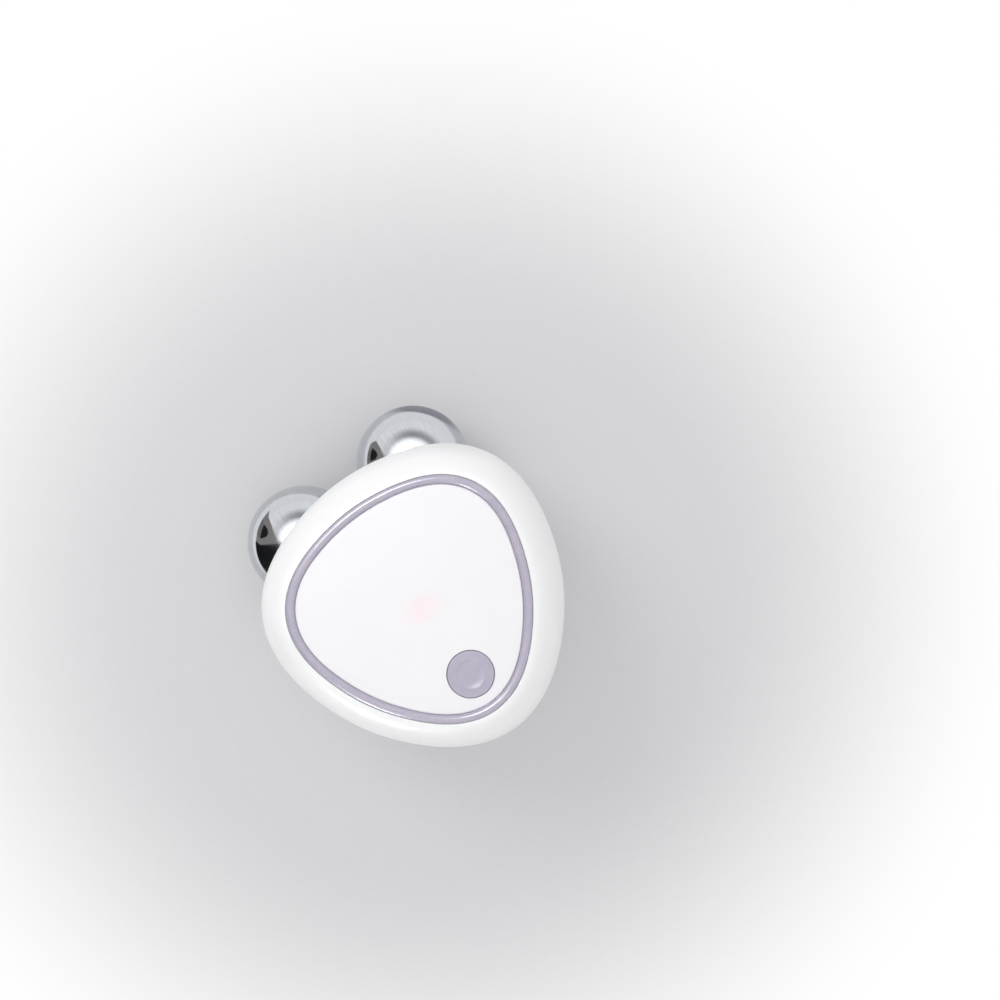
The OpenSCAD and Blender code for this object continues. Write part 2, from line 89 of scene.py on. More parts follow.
# The outline of every section is a rounded triangle: a circle whose radius swells three times round
LOBE_SHARP = 0.115
LOBE_FULL_R = 18 * MM
LOBE = (-RING_LOW.y - RING_HIGH.y) / 2
CORNER = (1 + LOBE_SHARP) * LOBE
RING_R = -RING_LOW.y - CORNER
BODY_R = SHELL_HIGH.y + (1 - LOBE_SHARP) * LOBE
PLATE_R = -PLATE_LOW.y - CORNER
BOARD_R = -BOARD_LOW.y - CORNER


def ring_width():
    """Width of the trim ring, measured at the button's corner."""
    points = node_points("trim_ring")
    corner = points[(abs(points[:, 0]) < NEAR) & (points[:, 1] < 0)]
    return float(np.ptp(corner[:, 1]))


def button_radii():
    """Radius of the button's cap, and of the dish in its top."""
    points = node_points("power_button")
    reach = np.hypot(points[:, 0] - BUTTON_PLACE.x, points[:, 1] - BUTTON_PLACE.y)
    top = abs(points[:, 2] - BUTTON_HIGH.z) < NEAR
    return float(reach[points[:, 2] > SHOULDER_Z + NEAR].max()), float(reach[top].min())


RING_W = ring_width()
CAP_R, DISH_R = button_radii()
FLANGE_R = (BUTTON_HIGH.x - BUTTON_LOW.x) / 2


def screw_spots(node):
    """Plan places of the four solids of a CAD node, from its mesh."""
    points = node_points(node)
    middle = (points[:, 1].min() + points[:, 1].max()) / 2
    places = []
    for side in (-1, 1):
        for end in (-1, 1):
            mine = points[(points[:, 0] * side > 0) & ((points[:, 1] - middle) * end > 0)]
            places.append(tuple((mine.min(axis=0) + mine.max(axis=0))[:2] / 2))
    return places


Screw = namedtuple("Screw", "tip under end shank_r head_r")


def screw_facts(points):
    """A screw about Z: heights of its tip, its head's underside and its head's end, then both radii."""
    reach = np.hypot(points[:, 0], points[:, 1])
    heights = np.unique(points[:, 2].round(5))
    radius = {z: reach[abs(points[:, 2] - z) < 2 * NEAR].max() for z in heights}
    tip, end = sorted((heights[0], heights[-1]), key=radius.get)
    head = [z for z in heights if radius[z] > (radius[tip] + radius[end]) / 2]
    under = min(head, key=lambda z: abs(z - tip))
    return Screw(tip, under, end, radius[tip], radius[end])


def one_screw(node, spot):
    """Corners of the screw that stands on a plan point, about its own axis."""
    points = node_points(node) - np.array([*spot, 0])
    return points[np.hypot(points[:, 0], points[:, 1]) < 4 * MM]


def ball_frame(side, tilt):
    """From the ball screw's own axes to the housing's."""
    return shift(side * BALL_PLACE.x, BALL_PLACE.y, BALL_PLACE.z) @ Matrix.Rotation(tilt, 4, "X")


def ball_screw(tilt):
    """Facts of the right ball's screw, turned upright about the ball's centre."""
    points = node_points("ball_screws")
    back = ball_frame(1, tilt).inverted()
    return screw_facts(np.array([back @ Vector(p) for p in points[points[:, 0] > 0]]))


CASE_SPOTS = screw_spots("case_screws")
BOARD_SPOTS = screw_spots("board_screws")


def paint(red, green, blue):
    """A colour of a paint chart, 0 to 255, as Blender's linear colour."""
    def linear(part):
        part = part / 255
        return part / 12.92 if part <= 0.04045 else ((part + 0.055) / 1.055) ** 2.4
    return (linear(red), linear(green), linear(blue), 1.0)


# ---- Sizes and colours that a user would change ----

def size(label, about, value):
    return FloatProperty(name=label, description=about, default=value, min=0, precision=5,
                         subtype="DISTANCE", unit="LENGTH")


def share(label, about, value):
    return FloatProperty(name=label, description=about, default=value, min=0, max=1, subtype="FACTOR")


def power(label, about, value):
    return FloatProperty(name=label, description=about, default=value, min=0, unit="POWER")


def colour(label, about, *parts):
    return FloatVectorProperty(name=label, description=about, default=paint(*parts), size=4,
                               min=0, max=1, subtype="COLOR")


def count(label, about, value):
    return IntProperty(name=label, description=about, default=value, min=3)


class ToneHousing(bpy.types.PropertyGroup):
    steps: count("Steps", "Columns of faces round each shell", 480)
    wall: size("Wall", "Thickness of the moulded walls", 2 * MM)
    seam_edge: size("Seam edge", "Radius of the edges along the seam", 0.22 * MM)
    pad_r: size("Pad radius", "Radius of the flat pad that the belly rests on", 12 * MM)
    belly_lean: size("Belly lean", "How far the belly leans towards the button's end", 4 * MM)
    shelf_t: size("Shelf", "Thickness of the shelf that carries the ring and the face plate", 1.6 * MM)
    shelf_r: size("Shelf radius", "Radius of the opening in the shelf", 20.5 * MM)
    lap_gap: size("Lap gap", "Gap in the lap joint", 0.08 * MM)
    seat_gap: size("Seat gap", "Gap between a ball and its well", 0.5 * MM)
    seat_wall: size("Well wall", "Thickness of a well's wall", 1.6 * MM)
    rim_fillet: size("Rim fillet", "Softening of the wells' rims", 1.0 * MM)
    tower_r: size("Tower radius", "Radius of the towers that take the case screws", 2.8 * MM)
    boss_r: size("Boss radius", "Radius of the bosses that take the board screws", 2.4 * MM)
    rib_t: size("Rib", "Thickness of the ribs", 1.2 * MM)
    counter_r: size("Counterbore", "Radius of the holes under the case screws", 2.6 * MM)
    cap_gap: size("Cap gap", "Gap round the caps over the case screws", 0.1 * MM)
    cap_inset: size("Cap inset", "How far the caps lie below the belly's surface", 0.16 * MM)


class ToneFace(bpy.types.PropertyGroup):
    ring_gap: size("Ring gap", "Gap between the ring and its seat", 0.05 * MM)
    bead_drop: size("Bead drop", "How far below the shell's edge the bead begins", 0.3 * MM)
    foot_reach: size("Foot reach", "How far the ring's foot reaches towards the face plate", 0.12 * MM)
    crown: size("Crown", "Rise of the face plate from its edge to its middle", PLATE_HIGH.z - SHOULDER_Z)
    clip_w: size("Clip width", "Width of the clips that hold the face plate", 5 * MM)
    button_clear: size("Button gap", "Gap round the button's cap", 0.12 * MM)
    dish_depth: size("Dish depth", "Depth of the button's dish", 0.3 * MM)


class ToneBalls(bpy.types.PropertyGroup):
    wall: size("Ball wall", "Wall of the hollow balls", 1.5 * MM)
    bore_r: size("Bore radius", "Radius of the threaded bore", 2 * MM)
    boss_r: size("Boss radius", "Radius of the boss round the bore", 4 * MM)
    boss_in: size("Boss depth", "How far the boss reaches in from the surface", 7 * MM)
    tilt: FloatProperty(name="Screw tilt", description="How far the ball's screw leans into the body",
                        default=math.radians(45), subtype="ANGLE", unit="ROTATION")
    seat_hole_r: size("Seat hole", "Radius of the hole that the ball's screw passes through", 2.2 * MM)
    pad_r: size("Screw pad", "Radius of the pad under the ball screw's terminal", 5 * MM)
    brushed: share("Brushed", "How far the plating's fine hairlines stretch its highlights", 0.75)


class ToneInside(bpy.types.PropertyGroup):
    pitch: size("Thread pitch", "Pitch of the screws' threads", 0.8 * MM)
    wire_r: size("Wire radius", "Radius of the insulated leads", 0.55 * MM)
    leg_w: size("Leg width", "Width of the chips' legs", 0.26 * MM)
    winding_r: size("Winding", "Radius of the coil's wire", 0.16 * MM)


class ToneFinish(bpy.types.PropertyGroup):
    shell: colour("Shell", "Moulded white of the two shells", 249, 249, 250)
    face: colour("Face", "Frosted white of the face plate", 245, 244, 247)
    # Painted glow: this tint is painted into the face plate's colour over the indicator, and it casts no
    # light
    glow: colour("Glow", "Tint where the indicator shines through the face", 252, 237, 241)
    lilac: colour("Lilac", "Trim ring and button", 175, 172, 191)
    blush: colour("Blush", "Warmer patches in the lilac", 187, 178, 193)
    chrome: colour("Chrome", "Plated electrode balls", 203, 206, 211)


class ToneStage(bpy.types.PropertyGroup):
    lens: size("Lens", "Focal length on a 36 mm sensor", 56 * MM)
    height: size("Camera height", "Height of the camera above the floor", 356 * MM)
    key: power("Key light", "Power of the soft light at the upper left", 0.32)
    grey_r: size("Grey radius", "Radius at which the floor's grey begins to fade", 62 * MM)
    white_r: size("White radius", "Radius from which the floor is white", 140 * MM)
    floor: colour("Floor", "Grey of the floor round the object", 219, 219, 221)


GROUPS = {"toner_housing": ToneHousing, "toner_face": ToneFace, "toner_balls": ToneBalls,
          "toner_inside": ToneInside, "toner_finish": ToneFinish, "toner_stage": ToneStage}


# ---- Nodes ----

class Wiring:
    """Adds nodes to a tree: an input given as a socket is linked, any other is its value."""

    def __init__(self, tree):
        self.tree = tree

    def node(self, kind, inputs=None, **settings):
        new = self.tree.nodes.new(kind)
        for key, value in settings.items():
            setattr(new, key, value)
        for key, value in (inputs or {}).items():
            self.give(new.inputs[key], value)
        return new

    def give(self, socket, value):
        if isinstance(value, bpy.types.NodeSocket):
            self.tree.links.new(value, socket)
        else:
            socket.default_value = value

    def math(self, operation, *values):
        return self.node("ShaderNodeMath", dict(enumerate(values)), operation=operation).outputs[0]

    def times(self, *values):
        return self.math("MULTIPLY", *values)

    def plus(self, *values):
        return self.math("ADD", *values)

    def vector(self, operation, *values, output="Vector"):
        made = self.node("ShaderNodeVectorMath", dict(enumerate(values)), operation=operation)
        return made.outputs[output]

    def parts(self, vector):
        """The three parts of a vector."""
        return self.node("ShaderNodeSeparateXYZ", {0: vector}).outputs

    def point(self, *parts):
        """A vector from its three parts."""
        return self.node("ShaderNodeCombineXYZ", dict(enumerate(parts))).outputs[0]


# ---- Meshes ----

MERGE = 1e-7


def outline_radius(r, a):
    """Radius at angle a from the button's corner, for a section of radius r."""
    lobe = LOBE * np.minimum(1, r / LOBE_FULL_R)
    return r + lobe * (np.cos(3 * a) + LOBE_SHARP * np.cos(6 * a))


def outline_points(r, z, lean, a):
    """Points of a section at the angles a; r, z and lean may be arrays that match a."""
    q = outline_radius(r, a)
    return np.stack([q * np.sin(a), -q * np.cos(a) - lean, z + 0 * q], axis=-1)


def round_angles(steps):
    return np.linspace(0, 2 * math.pi, steps, endpoint=False)


def link(name, data):
    """An object in the scene with this mesh, lamp or camera."""
    piece = bpy.data.objects.new(name, data)
    bpy.context.scene.collection.objects.link(piece)
    return piece


def plain_mesh(name, points, faces=(), edges=()):
    mesh = bpy.data.meshes.new(name)
    mesh.from_pydata([tuple(p) for p in points], edges, faces)
    return mesh


def ring_faces(rows, columns, loop):
    """Quads between rows of points that close round; with loop, the last row joins the first."""
    row = np.arange(rows if loop else rows - 1)[:, None]
    column = np.arange(columns)[None, :]
    after = (column + 1) % columns
    up = (row + 1) % rows
    quads = np.stack([row * columns + column, row * columns + after,
                      up * columns + after, up * columns + column], axis=-1)
    return quads.reshape(-1, 4)


def grid_mesh(name, rows, loop=False):
    """Mesh through rows of points that close round, shape (rows, columns, 3)."""
    faces = ring_faces(*rows.shape[:2], loop)
    return plain_mesh(name, rows.reshape(-1, 3).tolist(), faces.tolist())


def rows_mesh(name, rows):
    """Closed mesh through rows of points whose end rows are poles."""
    return tidy(grid_mesh(name, rows))


def tidy(mesh, sharp=math.radians(38)):
    """Merges doubles, turns the faces outwards and shades them smooth between sharp edges."""
    work = bmesh.new()
    work.from_mesh(mesh)
    bmesh.ops.remove_doubles(work, verts=work.verts, dist=MERGE)
    bmesh.ops.dissolve_degenerate(work, edges=work.edges, dist=MERGE / 10)
    if work.calc_volume(signed=True) < 0:
        bmesh.ops.reverse_faces(work, faces=work.faces)
    work.to_mesh(mesh)
    work.free()
    mesh.shade_smooth()
    mesh.set_sharp_from_angle(angle=sharp)
    return mesh


def evaluated(piece):
    """The piece's mesh with its modifiers, as a plain mesh."""
    return bpy.data.meshes.new_from_object(piece.evaluated_get(bpy.context.evaluated_depsgraph_get()))


def combine(piece, tool, operation="DIFFERENCE"):
    """Cuts the piece with the tool, joins them or keeps what they share, and removes the tool."""
    step = piece.modifiers.new("combine", "BOOLEAN")
    step.operation = operation
    step.solver = "MANIFOLD"
    step.object = tool
    mesh = evaluated(piece)
    piece.modifiers.remove(step)
    piece.data = tidy(mesh)
    bpy.data.objects.remove(tool)
    return piece


def fused(parts):
    """One solid from several that overlap."""
    return reduce(lambda whole, part: combine(whole, part, "UNION"), parts)


def joined(name, parts):
    """One piece from several separate solids, each with its own finish."""
    work = bmesh.new()
    mesh = bpy.data.meshes.new(name)
    for index, part in enumerate(parts):
        if part.data.materials:
            mesh.materials.append(part.data.materials[0])
            part.data.polygons.foreach_set("material_index", [index] * len(part.data.polygons))
        work.from_mesh(part.data)
        bpy.data.objects.remove(part)
    work.to_mesh(mesh)
    work.free()
    return link(name, mesh)


def finished(piece, finish):
    piece.data.materials.clear()
    piece.data.materials.append(finish)
    return piece


def moved(piece, *turns):
    """The piece with its mesh put through these matrices, the last one first."""
    piece.data.transform(reduce(lambda whole, part: whole @ part, turns))
    return piece


def shift(x, y, z):
    return Matrix.Translation((x, y, z))


UPRIGHT = Matrix.Rotation(math.radians(90), 4, "X")  # stands a plan outline up, its height towards -Y


def arc(centre, radii, start, end, points):
    """Section points (radius, height) along an arc; angles in degrees."""
    t = np.radians(np.linspace(start, end, points))
    return np.stack([centre[0] + radii[0] * np.cos(t), centre[1] + radii[1] * np.sin(t)], axis=-1)


def spun(r, z, a):
    """Rows of points at radius r and height z, turned about Z through the angles a."""
    return np.stack([r * np.cos(a), r * np.sin(a), z + 0 * a], axis=-1)


def turned(name, section, steps=96):
    """A solid turned about Z from section points; its ends are closed on the axis."""
    section = np.asarray(section)
    section = np.concatenate([[(0, section[0][1])], section, [(0, section[-1][1])]])
    return link(name, rows_mesh(name, spun(section[:, :1], section[:, 1:], round_angles(steps))))


def prism(name, outline, low, high):
    """A solid from a plan outline between two heights."""
    n = len(outline)
    points = [(*p, z) for z in (low, high) for p in outline]
    sides = [(i, (i + 1) % n, n + (i + 1) % n, n + i) for i in range(n)]
    mesh = plain_mesh(name, points, [list(range(n))[::-1], list(range(n, 2 * n)), *sides])
    return link(name, tidy(mesh))


def round_slot(width, length, radius, points=12):
    """Plan outline of a rectangle with rounded corners."""
    x, y = width / 2 - radius, length / 2 - radius
    return np.concatenate([
        arc((x * right, y * up), (radius, radius), start, start + 90, points)
        for right, up, start in ((1, 1, 0), (-1, 1, 90), (-1, -1, 180), (1, -1, 270))])


def soft_block(name, low, high, corner, edge, points=6):
    """A block between two corners of its box, with its corners and its edges rounded."""
    low, high = Vector(low), Vector(high)
    middle, reach = (low + high) / 2, high - low
    rise = arc((-edge, low.z + edge), (edge, edge), -90, 0, points)
    fall = arc((-edge, high.z - edge), (edge, edge), 0, 90, points)
    rows = []
    for inset, z in np.concatenate([rise, fall]):
        wide, long = reach.x + 2 * inset, reach.y + 2 * inset
        ring = round_slot(wide, long, max(corner + inset, 2 * NEAR), points)
        rows.append(np.column_stack([ring + [middle.x, middle.y], np.full(len(ring), z)]))
    ends = [np.tile([middle.x, middle.y, z], (len(rows[0]), 1)) for z in (low.z, high.z)]
    return link(name, rows_mesh(name, np.array([ends[0], *rows, ends[1]])))


def bar(a, b, thick, low, high):
    """An upright rib with round ends between two plan points."""
    a, b = np.array(a), np.array(b)
    facing = math.degrees(math.atan2(*(b - a)[::-1]))
    ends = [arc(b, (thick / 2, thick / 2), facing - 90, facing + 90, 12),
            arc(a, (thick / 2, thick / 2), facing + 90, facing + 270, 12)]
    return prism("rib", np.concatenate(ends), low, high)


def round_bar(spot, radius, low, high, steps=96):
    """A round solid standing on a plan point."""
    return moved(turned("round_bar", [(radius, low), (radius, high)], steps), shift(*spot[:2], 0))


def softened(node, look, edge, body="housing"):
    """A piece in the place of a CAD node: its mesh with doubles merged and its edges rounded."""
    work = bmesh.new()
    work.from_mesh(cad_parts[node].data)
    bmesh.ops.remove_doubles(work, verts=work.verts, dist=10 * MERGE)
    bmesh.ops.dissolve_limit(work, angle_limit=math.radians(1), verts=work.verts, edges=work.edges)
    mesh = bpy.data.meshes.new(node)
    work.to_mesh(mesh)
    work.free()
    piece = link(node + "_soft", mesh)
    step = piece.modifiers.new("edges", "BEVEL")
    step.width, step.segments = edge, 2
    step.limit_method, step.angle_limit = "ANGLE", math.radians(35)
    mesh = evaluated(piece)
    piece.modifiers.clear()
    piece.data = tidy(mesh)
    return dress(piece, look, node, body)


# ---- Geometry Nodes ----

def new_tree(name, *sockets):
    """A tree with these inputs and a geometry output, its wiring and its inputs' sockets."""
    tree = bpy.data.node_groups.new(name, "GeometryNodeTree")
    for label, kind, value in (*sockets, ("Finish", "Material", None)):
        socket = tree.interface.new_socket(label, in_out="INPUT", socket_type="NodeSocket" + kind)
        if value is not None:
            socket.default_value = value
    tree.interface.new_socket("Geometry", in_out="OUTPUT", socket_type="NodeSocketGeometry")
    w = Wiring(tree)
    return w, w.node("NodeGroupInput").outputs


def end_tree(w, geometry, finish):
    """Ends the tree in Realize Instances and Set Material."""
    real = w.node("GeometryNodeRealizeInstances", {"Geometry": geometry}).outputs[0]
    dressed = w.node("GeometryNodeSetMaterial", {"Geometry": real, "Material": finish}).outputs[0]
    w.node("NodeGroupOutput", {0: dressed})
    return w.tree


def shape_of(w, socket):
    return w.node("GeometryNodeObjectInfo", {"Object": socket}).outputs["Geometry"]


def own_place(w):
    return w.parts(w.node("GeometryNodeInputPosition").outputs[0])


SWEEP_R = 10 * MM  # radius of the circle that a section is first swept round


def sweep_tree():
    """Turns a section round a circle, then swells the circle to the rounded triangle."""
    w, given = new_tree("Pick sweep", ("Section", "Object", None), ("Steps", "Int", 480),
                        ("Lobe", "Float", LOBE), ("Sharpness", "Float", LOBE_SHARP),
                        ("Full radius", "Float", LOBE_FULL_R))
    circle = w.node("GeometryNodeCurvePrimitiveCircle",
                    {"Resolution": given["Steps"], "Radius": SWEEP_R}).outputs["Curve"]
    upright = w.node("GeometryNodeSetCurveNormal", {"Curve": circle}, mode="Z_UP").outputs[0]
    section = w.node("GeometryNodeMeshToCurve", {"Mesh": shape_of(w, given["Section"])}).outputs[0]
    ring = w.node("GeometryNodeCurveToMesh", {"Curve": upright, "Profile Curve": section}).outputs[0]

    x, y, z = own_place(w)
    angle = w.math("ARCTAN2", x, w.times(y, -1.0))
    radius = w.math("SQRT", w.plus(w.math("POWER", x, 2.0), w.math("POWER", y, 2.0)))
    full = w.math("MINIMUM", 1.0, w.math("DIVIDE", radius, given["Full radius"]))
    swell = w.times(given["Lobe"], full)
    wave = w.plus(w.math("COSINE", w.times(angle, 3.0)),
                  w.times(given["Sharpness"], w.math("COSINE", w.times(angle, 6.0))))
    reach = w.plus(radius, w.times(swell, wave))
    place = w.point(w.times(reach, w.math("SINE", angle)),
                    w.times(w.times(reach, w.math("COSINE", angle)), -1.0), z)
    swelled = w.node("GeometryNodeSetPosition", {"Geometry": ring, "Position": place}).outputs[0]
    closed = w.node("GeometryNodeMergeByDistance", {"Geometry": swelled, "Distance": MERGE}).outputs[0]
    return end_tree(w, closed, given["Finish"])


def repeat_nodes(w, given):
    """Instances of the pattern at the spots, each turned by its spot's own attribute."""
    turn = w.node("GeometryNodeInputNamedAttribute", {"Name": "turn"}, data_type="FLOAT_VECTOR")
    return w.node("GeometryNodeInstanceOnPoints", {
        "Points": shape_of(w, given["Spots"]), "Instance": shape_of(w, given["Pattern"]),
        "Rotation": turn.outputs["Attribute"]}).outputs[0]


def repeat_tree():
    """Repeats a pattern at spots."""
    w, given = new_tree("Repeated", ("Pattern", "Object", None), ("Spots", "Object", None))
    return end_tree(w, repeat_nodes(w, given), given["Finish"])


def plug_tree():
    """Repeats a plug at spots and lays its outer end along a surface, set in from it."""
    w, given = new_tree("Plugs", ("Pattern", "Object", None), ("Spots", "Object", None),
                        ("Surface", "Object", None), ("Inset", "Float", 0.16 * MM),
                        ("Top", "Float", 10 * MM), ("Split", "Float", 0.5 * MM))
    plugs = w.node("GeometryNodeRealizeInstances", {"Geometry": repeat_nodes(w, given)}).outputs[0]
    x, y, z = own_place(w)
    hit = w.node("GeometryNodeRaycast", {
        "Target Geometry": shape_of(w, given["Surface"]), "Source Position": w.point(x, y, -20 * MM),
        "Ray Direction": (0, 0, 1), "Ray Length": 60 * MM}).outputs["Hit Position"]
    outer = w.plus(w.plus(w.parts(hit)[2], given["Inset"]), z)
    inner = w.plus(w.math("SUBTRACT", given["Top"], w.times(given["Split"], 2.0)), z)
    upper = w.math("GREATER_THAN", z, given["Split"])
    height = w.plus(outer, w.times(upper, w.math("SUBTRACT", inner, outer)))
    laid = w.node("GeometryNodeSetPosition", {"Geometry": plugs, "Position": w.point(x, y, height)})
    return end_tree(w, laid.outputs[0], given["Finish"])


def tube_tree():
    """A round tube along a path."""
    w, given = new_tree("Tube", ("Path", "Object", None), ("Radius", "Float", 0.5 * MM),
                        ("Sides", "Int", 20))
    path = w.node("GeometryNodeMeshToCurve", {"Mesh": shape_of(w, given["Path"])}).outputs[0]
    circle = w.node("GeometryNodeCurvePrimitiveCircle",
                    {"Resolution": given["Sides"], "Radius": given["Radius"]}).outputs["Curve"]
    tube = w.node("GeometryNodeCurveToMesh", {"Curve": path, "Profile Curve": circle,
                                              "Fill Caps": True}).outputs[0]
    return end_tree(w, tube, given["Finish"])


TREES = {"Pick sweep": sweep_tree, "Repeated": repeat_tree, "Plugs": plug_tree, "Tube": tube_tree}


def grown(name, tree_name, finish, helpers=(), **inputs):
    """A plain mesh piece from a tree; the inputs are set by the sockets' identifiers."""
    tree = bpy.data.node_groups.get(tree_name) or TREES[tree_name]()
    piece = link(name, bpy.data.meshes.new(name))
    step = piece.modifiers.new(name, "NODES")
    step.node_group = tree
    ids = {s.name: s.identifier for s in tree.interface.items_tree if s.in_out == "INPUT"}
    for key, value in {**inputs, "Finish": finish}.items():
        step[ids[key.capitalize()]] = value
    mesh = evaluated(piece)
    piece.modifiers.clear()
    piece.data = tidy(mesh)
    for helper in helpers:
        bpy.data.objects.remove(helper)
    return finished(piece, finish)


def swept(name, section, loop, finish, steps):
    """A piece swept round the outline from section points (radius, height)."""
    points = [(r - SWEEP_R, -z, 0) for r, z in section]
    edges = [(i, i + 1) for i in range(len(points) - 1)] + ([(len(points) - 1, 0)] if loop else [])
    guide = link(name + "_section", plain_mesh(name, points, edges=edges))
    return grown(name, "Pick sweep", finish, [guide], section=guide, steps=steps)


def spots_at(spots, turns):
    """Points with a turn for each, as a helper object."""
    mesh = plain_mesh("spots", spots)
    turn = mesh.attributes.new("turn", "FLOAT_VECTOR", "POINT")
    turn.data.foreach_set("vector", np.array(turns, dtype=float).ravel())
    return link("spots", mesh)


def repeated(name, pattern, spots, finish, turns=None):
    """A piece that repeats the pattern at the spots; the pattern is removed."""
    guide = spots_at(spots, turns or [(0, 0, 0)] * len(spots))
    return grown(name, "Repeated", finish, [pattern, guide], pattern=pattern, spots=guide)


def wire(name, points, radius, finish):
    """An insulated lead along a path."""
    edges = [(i, i + 1) for i in range(len(points) - 1)]
    guide = link("path", plain_mesh("path", points, edges=edges))
    return grown(name, "Tube", finish, [guide], path=guide, radius=radius)


def bezier(corners, points=40):
    """Points along a curve with four corners."""
    p = np.array(corners)
    t = np.linspace(0, 1, points)[:, None]
    u = 1 - t
    return u ** 3 * p[0] + 3 * t * u ** 2 * p[1] + 3 * t * t * u * p[2] + t ** 3 * p[3]


# ---- Materials ----

def emptied(made):
    """Wiring for a material or a world whose nodes have been cleared."""
    made.use_nodes = True
    made.node_tree.nodes.clear()
    return Wiring(made.node_tree)


def surface(w, shader):
    w.node("ShaderNodeOutputMaterial", {"Surface": shader})


def material(name):
    """A new material with a Principled shader, and its wiring."""
    made = bpy.data.materials.new(name)
    w = emptied(made)
    shader = w.node("ShaderNodeBsdfPrincipled")
    surface(w, shader.outputs[0])
    return made, w, shader


def feed(w, shader, **inputs):
    """Links sockets to the shader's inputs and sets plain values on them."""
    for key, value in inputs.items():
        w.give(shader.inputs[key.replace("_", " ").title().replace("Ior", "IOR")], value)


def glowing(w, tone):
    return w.node("ShaderNodeEmission", {"Color": tone, "Strength": 1.0}).outputs[0]


def place_on(w, move=(0, 0, 0), turn=(0, 0, 0), scale=(1, 1, 1)):
    """Object coordinates, moved, turned and scaled."""
    where = w.node("ShaderNodeTexCoord").outputs["Object"]
    return w.node("ShaderNodeMapping", {"Vector": where, "Location": move, "Rotation": turn,
                                        "Scale": scale}).outputs[0]


def noise(w, place, grain, detail=3.0, roughness=0.55):
    """Noise whose grain is a real size in metres."""
    return w.node("ShaderNodeTexNoise", {"Vector": place, "Scale": 1 / grain, "Detail": detail,
                                         "Roughness": roughness}).outputs["Fac"]


def ramp(w, value, low, high, to_low=0.0, to_high=1.0, soft=True):
    """The value between low and high, as a value between to_low and to_high."""
    return w.node("ShaderNodeMapRange", {"Value": value, "From Min": low, "From Max": high,
                                         "To Min": to_low, "To Max": to_high},
                  interpolation_type="SMOOTHSTEP" if soft else "LINEAR").outputs[0]


def spread(w, value, low, high):
    """Noise spread between two values."""
    return ramp(w, value, 0.3, 0.7, low, high, soft=False)


def blended(w, amount, first, second):
    mixer = w.node("ShaderNodeMix", data_type="RGBA")
    sockets = {s.identifier: s for s in (*mixer.inputs, *mixer.outputs)}
    for key, value in (("Factor_Float", amount), ("A_Color", first), ("B_Color", second)):
        w.give(sockets[key], value)
    return sockets["Result_Color"]


def tinted(base, factor):
    return (*(min(1, part * factor) for part in base[:3]), 1.0)


def bump(w, height, distance):
    relief = {"Height": height, "Strength": 1.0, "Distance": distance}
    return w.node("ShaderNodeBump", relief).outputs[0]


def moulded(name, base, rough=0.4, relief=0.004 * MM, grain=0.5 * MM, mottling=0.012, coat=0.0,
            second=None, where=None):
    """Moulded plastic or rubber: a colour that varies a little, and a fine raised grain. With where, a
    function from the wiring to a share of each point, the second colour is blended in there."""
    made, w, shader = material(name)
    here = place_on(w)
    clouds = spread(w, noise(w, here, 6 * MM), 0, 1)
    shade = blended(w, clouds, tinted(base, 1 - mottling), tinted(base, 1 + mottling))
    if where:
        shade = blended(w, where(w), shade, second)
    fine = noise(w, here, grain, detail=4)
    feed(w, shader, base_color=shade, roughness=spread(w, fine, rough * 0.88, rough * 1.12),
         normal=bump(w, fine, relief), coat_weight=coat, coat_roughness=0.1)
    return made


def painted_indicator_glow(w):
    """The share of each point of the face that takes the painted glow, a tint painted where the indicator
    would light the face from behind.
    """
    flat, core, rim, wander = 1.4, 0.2 * MM, 5.8 * MM, 3.5 * MM
    patch = place_on(w, move=(-GUIDE_PLACE.x, -flat * GUIDE_PLACE.y, 0), scale=(1, flat, 0))
    wavy = w.times(w.math("SUBTRACT", noise(w, place_on(w), 2.6 * MM), 0.5), wander)
    return ramp(w, w.plus(w.vector("LENGTH", patch, output="Value"), wavy), rim, core)


def patches(w):
    """Soft patches where the lilac turns warmer."""
    return spread(w, noise(w, place_on(w, scale=(1, 1, 0.3)), 2.6 * MM, detail=2), 0, 1)


def tracks(w):
    """Copper tracks under a circuit board's solder mask."""
    return w.node("ShaderNodeTexBrick", {
        "Vector": place_on(w), "Scale": 1 / (2 * MM), "Mortar Size": 0.07, "Mortar Smooth": 0.3,
        "Brick Width": 2.6, "Row Height": 0.5}).outputs["Fac"]


def taped(w):
    """The end of the battery cell that its tape covers."""
    begin, full = (CELL_HIGH.y - reach * MM for reach in (4.3, 4.1))
    return ramp(w, w.parts(place_on(w))[1], begin, full, soft=False)


def worked_metal(name, base, rough=0.2, scratch=0.0006 * MM, stretch=(1, 1, 1)):
    """Rolled or turned metal with hairline marks along one direction."""
    made, w, shader = material(name)
    lines = noise(w, place_on(w, scale=stretch), 0.12 * MM, detail=2)
    smears = spread(w, noise(w, place_on(w), 4 * MM), 0, 1)
    feed(w, shader, metallic=1.0, base_color=blended(w, smears, tinted(base, 0.94), base),
         roughness=ramp(w, smears, 0, 1, rough * 0.8, rough * 1.3, soft=False),
         normal=bump(w, lines, scratch))
    return made


